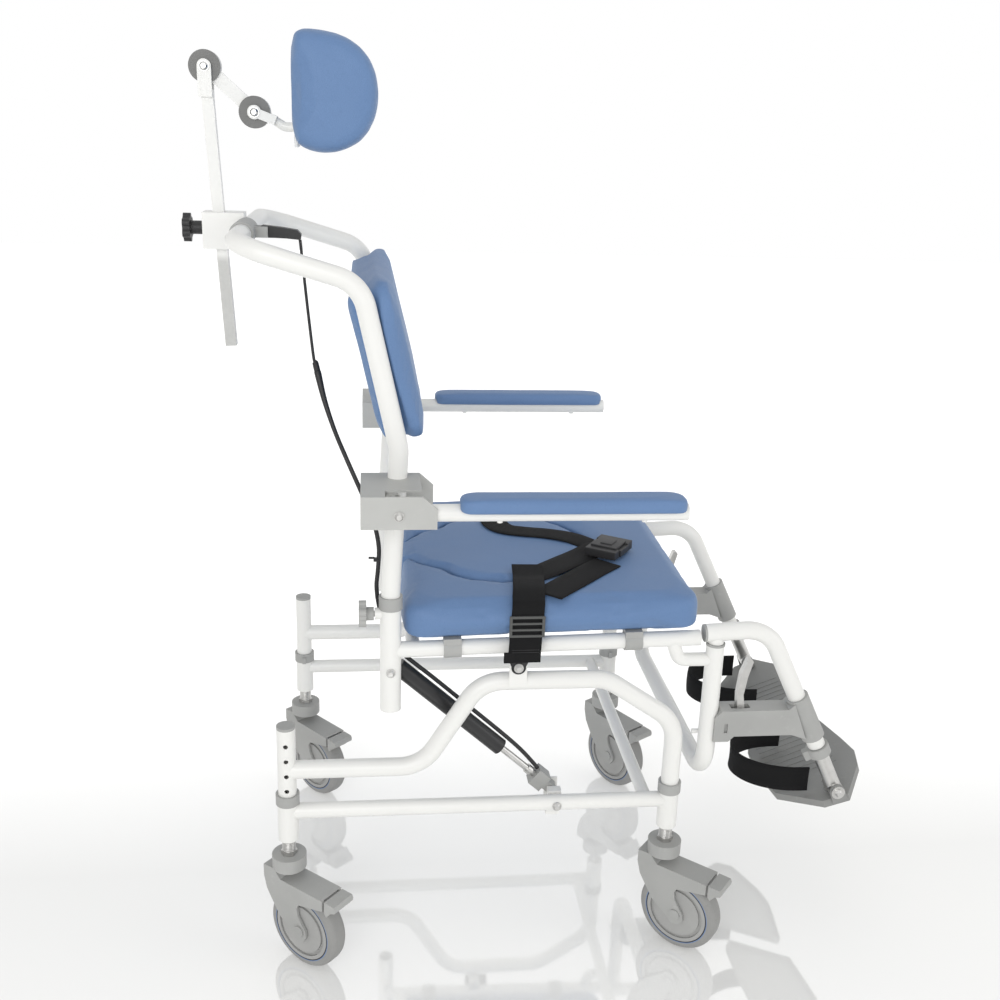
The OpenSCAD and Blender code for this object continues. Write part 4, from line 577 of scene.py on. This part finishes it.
def pad(name, node, body, finish, voxel, inset, rounding, cap, frames=12, dent=0.0006):
    """Foam pad in its cover: the solid's own shape, rounded, then swollen by cloth under pressure."""
    work = scratch_object(name + "_work", nodes[node].data.copy())
    bm = bmesh.new()
    bm.from_mesh(work.data)
    close_up(bm)
    bm.to_mesh(work.data)
    bm.free()
    skin = work.modifiers.new("skin", "REMESH")
    skin.mode = "VOXEL"
    skin.voxel_size = voxel
    trim = work.modifiers.new("trim", "DISPLACE")
    trim.strength = -inset
    trim.mid_level = 0
    ease = work.modifiers.new("ease", "SMOOTH")
    ease.factor = 0.5
    ease.iterations = rounding
    mesh = settled(work)
    drop(work)
    work = scratch_object(name + "_foam", mesh)
    start = [v.co.copy() for v in mesh.vertices]
    foam = work.modifiers.new("foam", "CLOTH")
    foam.settings.quality = 4
    foam.settings.mass = 0.25
    foam.settings.tension_stiffness = 12
    foam.settings.compression_stiffness = 12
    foam.settings.use_pressure = True
    foam.settings.uniform_pressure_force = FOAM_PUSH
    foam.settings.effector_weights.gravity = 0
    foam.point_cache.frame_start = 1
    foam.point_cache.frame_end = frames
    for step in range(1, frames + 1):
        bpy.context.scene.frame_set(step)
    swollen = settled(work)
    drop(work)
    for vert, was in zip(swollen.vertices, start):
        move = vert.co - was
        if move.length > cap:
            vert.co = was + move * (cap / move.length)
    mesh = swollen
    bpy.context.scene.frame_set(1)
    for vert in mesh.vertices:
        vert.co += vert.normal * dent * noise.noise(vert.co / DENT_WAVE)
    piece = add_piece(name, mesh, body, finish)
    round_off = piece.modifiers.new("round", "SUBSURF")
    round_off.levels = 1
    round_off.render_levels = 1
    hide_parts(node)
    return piece


# ---------------------------------------------------------------- repeats
def new_tree(name, sizes):
    """Geometry node tree with a geometry input and the named sizes."""
    tree = bpy.data.node_groups.new(name, "GeometryNodeTree")
    tree.interface.new_socket("Geometry", in_out="INPUT", socket_type="NodeSocketGeometry")
    for label, kind, value in sizes:
        socket = tree.interface.new_socket(label, in_out="INPUT", socket_type=kind)
        if value is not None:
            socket.default_value = value
    tree.interface.new_socket("Geometry", in_out="OUTPUT", socket_type="NodeSocketGeometry")
    start = tree.nodes.new("NodeGroupInput")
    end = tree.nodes.new("NodeGroupOutput")

    def step(kind, settings=None, **links):
        made = tree.nodes.new(kind)
        for label, value in (settings or {}).items():
            setattr(made, label, value)
        for label, value in links.items():
            socket = made.inputs[label.replace("_", " ")]
            if hasattr(value, "is_output"):
                tree.links.new(value, socket)
            else:
                socket.default_value = value
        return made

    def close(geometry):
        whole = step("GeometryNodeRealizeInstances", Geometry=geometry)
        painted = step("GeometryNodeSetMaterial", Geometry=whole.outputs[0], Material=start.outputs["Finish"])
        tree.links.new(painted.outputs[0], end.inputs[0])

    return tree, start, step, close


def thread_tree():
    """A screw thread standing on every point."""
    tree, start, step, close = new_tree("screw_thread", (
        ("Turns", "NodeSocketFloat", 10.0), ("Core", "NodeSocketFloat", 0.008),
        ("Ridge", "NodeSocketFloat", 0.0008), ("Height", "NodeSocketFloat", 0.03),
        ("Finish", "NodeSocketMaterial", None)))
    core = start.outputs["Core"]
    coil = step("GeometryNodeCurveSpiral", Resolution=24, Rotations=start.outputs["Turns"],
                Start_Radius=core, End_Radius=core, Height=start.outputs["Height"])
    ridge = step("GeometryNodeCurvePrimitiveCircle", Resolution=5, Radius=start.outputs["Ridge"])
    worm = step("GeometryNodeCurveToMesh", Curve=coil.outputs[0], Profile_Curve=ridge.outputs[0],
                Fill_Caps=True)
    rows = step("GeometryNodeInstanceOnPoints", Points=start.outputs["Geometry"],
                Instance=worm.outputs[0])
    close(rows.outputs[0])
    return tree


def stitch_tree():
    """A row of thread stitches along a line."""
    tree, start, step, close = new_tree("stitch_row", (
        ("Pitch", "NodeSocketFloat", 0.003), ("Thread", "NodeSocketFloat", 0.0004),
        ("Length", "NodeSocketFloat", 0.0011), ("Finish", "NodeSocketMaterial", None)))
    thread = start.outputs["Thread"]
    beads = step("GeometryNodeCurveToPoints", {"mode": "LENGTH"}, Curve=start.outputs["Geometry"],
                 Length=start.outputs["Pitch"])
    bead = step("GeometryNodeMeshUVSphere", Segments=6, Rings=4, Radius=1.0)
    shape = step("ShaderNodeCombineXYZ", X=thread, Y=thread, Z=start.outputs["Length"])
    rows = step("GeometryNodeInstanceOnPoints", Points=beads.outputs["Points"],
                Instance=bead.outputs["Mesh"], Rotation=beads.outputs["Rotation"],
                Scale=shape.outputs[0])
    close(rows.outputs[0])
    return tree


def grow(name, base, tree, sizes, body, finish):
    """Runs a tree on a base and keeps the result as a plain mesh."""
    work = scratch_object(name + "_base", base)
    rule = work.modifiers.new("rule", "NODES")
    rule.node_group = tree
    values = dict(sizes, Finish=finish)
    for item in tree.interface.items_tree:
        if item.in_out == "INPUT" and item.name in values:
            rule[item.identifier] = values[item.name]
    mesh = settled(work)
    drop(work)
    return add_piece(name, mesh, body, finish)


def point_base(name, points):
    mesh = bpy.data.meshes.new(name)
    mesh.from_pydata([tuple(p) for p in points], [], [])
    return mesh


def line_base(name, rows):
    """One curve object with a straight run for each row of points."""
    curve = bpy.data.curves.new(name, "CURVE")
    curve.dimensions = "3D"
    for row in rows:
        run = curve.splines.new("POLY")
        run.points.add(len(row) - 1)
        for point, place in zip(run.points, row):
            point.co = (*place, 1)
    return curve


# ---------------------------------------------------------------- paint the CAD nodes
aim_camera()
build_studio()

BOLT_HEAD = 6.6
HEAD_BOLTS = [(-96.3, 1206.7, BOLT_HEAD), (-34.2, 1151.9, BOLT_HEAD)]
BAR_GREY_BELOW = 962
LINK_HALF = 0.0041
GREY = (0.345, 0.347, 0.338)
paint = {
    "white_paint": scuffed_white("white_powder_coat"),
    "grey_plastic": moulded("grey_moulding", GREY),
    "dark_plastic": moulded("dark_moulding", (0.075, 0.077, 0.075)),
    "bright_steel": zinc_steel("zinc_plate"),
    "black_metal": black_enamel("black_enamel"),
    "black_plastic": moulded("black_moulding", (0.016, 0.016, 0.017), 1.5, 0.42),
    "black_webbing": webbing_finish("black_webbing"),
    "blue_vinyl": blue_vinyl("blue_vinyl"),
    "wheel_grey": None,
}
bolted_white = scuffed_white("white_coat_with_bolts", HEAD_BOLTS)
bar_white = scuffed_white("headrest_bar_coat", HEAD_BOLTS, BAR_GREY_BELOW * MM)
bracket_grey = moulded("bracket_moulding", (0.41, 0.413, 0.40))
plate_grey = moulded("footplate_moulding", (0.25, 0.252, 0.245), 1.2, 0.5)


def link_finish():
    """White link between its dark discs."""
    coat = Finish("headrest_link_coat", Specular_IOR_Level=0.45)
    side = coat.parts(coat.place())[1]
    discs = abs(side) > LINK_HALF
    clouds = coat.noise(20, 4)
    colour = coat.mix(discs, coat.mix(clouds, *WHITE_COAT),
                      coat.mix(clouds, (0.13, 0.13, 0.125), (0.20, 0.20, 0.195)))
    grain = coat.bump(coat.noise(900, 2), 0.00018, 0.5)
    return coat.set(Base_Color=colour, Roughness=0.3 + discs * 0.2, Normal=grain).material


CASTOR_TRAIL = 34
AXLE_HEIGHT = 60
castor_spots = {"rr": (0, -224, 40), "rl": (0, 224, 48), "fr": (540, -224, 40), "fl": (540, 224, 56)}
special = {"head_bar": bar_white, "head_link": link_finish(), "head_stem": bolted_white,
           "arm_brackets": bracket_grey,
           "footplate_r": plate_grey, "footplate_l": plate_grey}
for corner, (stem_x, stem_y, turn) in castor_spots.items():
    a = math.radians(turn)
    axle = at(stem_x + CASTOR_TRAIL * math.cos(a), stem_y - CASTOR_TRAIL * math.sin(a), AXLE_HEIGHT)
    special["castor_wheel_" + corner] = castor_wheel_finish(
        "castor_wheel_" + corner, axle, (math.sin(a), math.cos(a), 0))
for part in record["subparts"]:
    obj = nodes[part["node"]]
    finish = special.get(part["node"]) or paint[part["material_slot"]]
    if not obj.material_slots:
        obj.data.materials.append(finish)
    for holder in obj.material_slots:
        holder.material = finish

# ---------------------------------------------------------------- cushions and pads
vinyl = paint["blue_vinyl"]
# Node, body, voxel, inset, rounding passes and cap.
for part, body, voxel, inset, rounding, cap in (
        ("seat_cushion", "cushion", 0.005, 0.0015, 5, 0.0045),
        ("seat_infill", "infill", 0.0045, 0.0012, 4, 0.004),
        ("back_pad", "back", 0.0045, 0.001, 3, 0.0045),
        ("head_pad", "head_rest", 0.004, 0.001, 8, 0.0035)):
    pad(part + "_cover", part, body, vinyl, voxel, inset, rounding, cap)
for side, s in SIDES:
    pad("arm_pad_cover_" + side, "arm_pad_" + side, "arm_" + side, vinyl, 0.003, 0.0006, 4, 0.0015,
        frames=8, dent=0.0003)

# ---------------------------------------------------------------- lap belt
EDGE_Y = 206
FEEL = 10
ABOVE_SEAT = 900
BELT_PLY = 1.8
LOW_LIFT, MIDDLE_LIFT, TOP_LIFT = 1.6, 3.6, 5.6
web = paint["black_webbing"]
graph = bpy.context.evaluated_depsgraph_get()
seat_skins = [BVHTree.FromObject(bpy.data.objects[name], graph)
              for name in ("seat_cushion_cover", "seat_infill_cover")]


def seat_top(x, y):
    """Height of the padded seat round a place, in millimetres; its rounded edge counts as level."""
    y = max(-EDGE_Y, min(EDGE_Y, y))
    spots = [at(x + dx, y + dy, ABOVE_SEAT) for dx in (-FEEL, 0, FEEL) for dy in (-FEEL, 0, FEEL)]
    hits = [skin.ray_cast(spot, Vector((0, 0, -1)))[0] for skin in seat_skins for spot in spots]
    return max(hit.z for hit in hits if hit) / MM


def lay(places, lift):
    """Stations of a strap that lies on the seat: (x, y, angle of its run in degrees)."""
    return [(x, y, seat_top(x, y) + lift, math.sin(math.radians(turn)), -math.cos(math.radians(turn)), 0)
            for x, y, turn in places]


def edge_run(s):
    """Stations from an anchor up the cushion's side and over its edge."""
    top = seat_top(324, s * EDGE_Y) + 1.4
    up = [(320, 242.0, 461), (320, 242.0, 474), (321, 238.5, 486), (322, 233.6, 497), (323, 233.0, 515),
          (324, 232.2, top - 15), (325, 227, top - 4.5), (326, 217, top - 0.2)]
    return [(x, s * y, z, -s, 0, 0) for x, y, z in up]


def belt_strap(name, stations, width):
    piece, wide, run = strap(name, stations, width, BELT_PLY, "seat", web)
    return piece


near_side = belt_strap("belt_near_side", edge_run(-1) + lay([
    (329, -196, 90), (332, -168, 90), (335, -142, 88), (337, -110, 86)], TOP_LIFT), 44)
belt_strap("belt_near_top", lay([
    (326, -146, 20), (345, -138, 24), (368, -122, 38), (396, -96, 44), (426, -67, 44),
    (454, -40, 44)], MIDDLE_LIFT), 46)
belt_strap("belt_tail", lay([
    (352, -212, 47), (374, -188, 47), (402, -158, 47), (430, -128, 46), (456, -101, 45)], LOW_LIFT), 46)
belt_strap("belt_far_side", edge_run(1) + lay([
    (325, 192, -90), (322, 160, -93), (316, 128, -96), (310, 92, -88), (322, 58, -50), (352, 40, -22),
    (388, 28, -24), (420, 8, -38), (446, -18, -46)], LOW_LIFT), 42)

blocks("belt_hem", [((0, 0, 0), (14, 3.6, 15))], "seat", web,
       Matrix.Translation(at(299, -242, 468)), 0.001)
buckle_place = at(464, -64, seat_top(464, -64) + 11)
buckle_turn = Matrix.Translation(buckle_place) @ Matrix.Rotation(math.radians(56), 4, "Z")
buckle = blocks("belt_buckle", [
    ((0, 0, 0), (40, 40, 16)), ((23, 0, -0.5), (18, 50, 13)), ((-24, 0, -0.5), (16, 48, 12)),
    ((0, 23, -1), (30, 6, 10)), ((0, -23, -1), (30, 6, 10)), ((0, 0, 8.5), (22, 18, 2))],
    "cushion", paint["black_plastic"], buckle_turn)
blocks("belt_adjuster", [
    ((-22, 0, 0), (4, 3, 30)), ((22, 0, 0), (4, 3, 30)), ((0, 0, 13.5), (46, 3.2, 3.5)),
    ((0, 0, 4.5), (46, 3.2, 3)), ((0, 0, -4.5), (46, 3.2, 3)), ((0, 0, -13.5), (46, 3.2, 3.5))],
    "cushion", paint["dark_plastic"], Matrix.Translation(at(323, -235.2, 510)), 0.0007)


def anchor_plate(name, s):
    """Pressed plate: wide where the strap loops through, round at the bolt."""
    outline = [(-15, 24), (15, 24), (15, 12)]
    outline += [(10 * math.cos(a), 10 * math.sin(a)) for a in (math.radians(d) for d in range(10, -191, -20))]
    outline += [(-15, 12)]
    bm = bmesh.new()
    verts = [bm.verts.new(at(313 + x, s * 238.4, 452 + z)) for x, z in outline]
    face = bm.faces.new(verts)
    grown = bmesh.ops.extrude_face_region(bm, geom=[face])["geom"]
    outer = [g for g in grown if isinstance(g, bmesh.types.BMVert)]
    bmesh.ops.translate(bm, vec=(0, s * 2.0 * MM, 0), verts=outer)
    close_up(bm)
    bmesh.ops.bevel(bm, geom=list(bm.edges), offset=0.0004, segments=2, affect="EDGES",
                    clamp_overlap=True)
    mesh = bpy.data.meshes.new(name)
    bm.to_mesh(mesh)
    bm.free()
    return add_piece(name, mesh, "seat", paint["black_metal"])


for side, s in SIDES:
    anchor_plate("belt_anchor_" + side, s)
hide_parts("lap_belt")
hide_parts("belt_hardware")

# ---------------------------------------------------------------- heel loops
BAND_X, BAND_Y, BAND_Z = 750, 124, 234
BAND_DEPTH, BAND_HALF = 86.5, 64.5
BAND_END = 12
BAND_STEPS = 16
for side, s in SIDES:
    bow = [(math.cos(a), math.sin(a)) for a in (
        math.radians(90 + 180 * k / BAND_STEPS) for k in range(BAND_STEPS + 1))]
    places = [(BAND_X + BAND_END, BAND_Y - BAND_HALF)]
    places += [(BAND_X + BAND_DEPTH * c, BAND_Y - BAND_HALF * d) for c, d in bow]
    places += [(BAND_X + BAND_END, BAND_Y + BAND_HALF)]
    stations = [(x, s * y, BAND_Z, 0, 0, 1) for x, y in places]
    loop, loop_wide, loop_run = strap(
        "heel_band_" + side, stations, 40, 3.0, "footplate_" + side, web, 3, 1.2)
    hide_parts("heel_loop_" + side)

# ---------------------------------------------------------------- control cable
sheath = paint["black_plastic"]
upper = hose("control_cable_upper", [
    (24, -54, 993, 2.0), (25.5, -58, 980, 2.0), (33, -86, 915, 2.0), (41, -112, 852, 2.0),
    (43, -117, 843, 2.2), (44, -118, 841, 4), (47, -124, 830, 4.2), (47.5, -125, 828, 4.6),
    (56, -138, 795, 3.6), (69, -152, 758, 3),
    (85, -172, 724, 3), (105, -185, 680, 3), (119, -189, 645, 3), (126, -190, 610, 3), (125, -190, 578, 3),
    (123, -190, 556, 3), (124, -190, 538, 3)], "back", sheath)
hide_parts("cable_upper")
lower = hose("control_cable_lower", [
    (124, -190, 537.6, 3), (128, -189, 515, 3), (135, -186, 490, 3), (143, -183, 470, 3), (154, -181, 453, 3),
    (172, -181, 436, 3), (202, -181, 410, 3), (250, -182, 367, 3), (300, -183, 322, 3), (328, -184, 295, 3),
    (345, -185, 275.5, 3), (353.8, -186, 264.8, 3)], "seat", sheath)
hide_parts("cable_lower")

blocks("cable_tie", [((0, 0, 0), (9, 9, 3.5)), ((-7, 1, 2), (8, 3, 2.5)), ((3, 5, 0), (4, 8, 3))],
       "back", sheath, Matrix.Translation(at(123.5, -190, 591)), 0.0006)

# ---------------------------------------------------------------- threads and stitches
stems = [at(x, y, 165) for x, y, _ in castor_spots.values()]
grow("stem_threads", point_base("stem_points", stems), thread_tree(),
     {"Turns": 9.0, "Core": 0.0088, "Ridge": 0.0009, "Height": 0.022}, "base",
     paint["bright_steel"])

stitches = stitch_tree()
thread_grey = moulded("stitch_thread", (0.05, 0.05, 0.052), 1.6, 0.7)
belt_rows = [[at(x, -242.95, z) for x in (304, 338)] for z in (476, 479.5)]
grow("belt_stitches", line_base("belt_stitch_lines", belt_rows), stitches, {"Pitch": 0.0028},
     "seat", thread_grey)
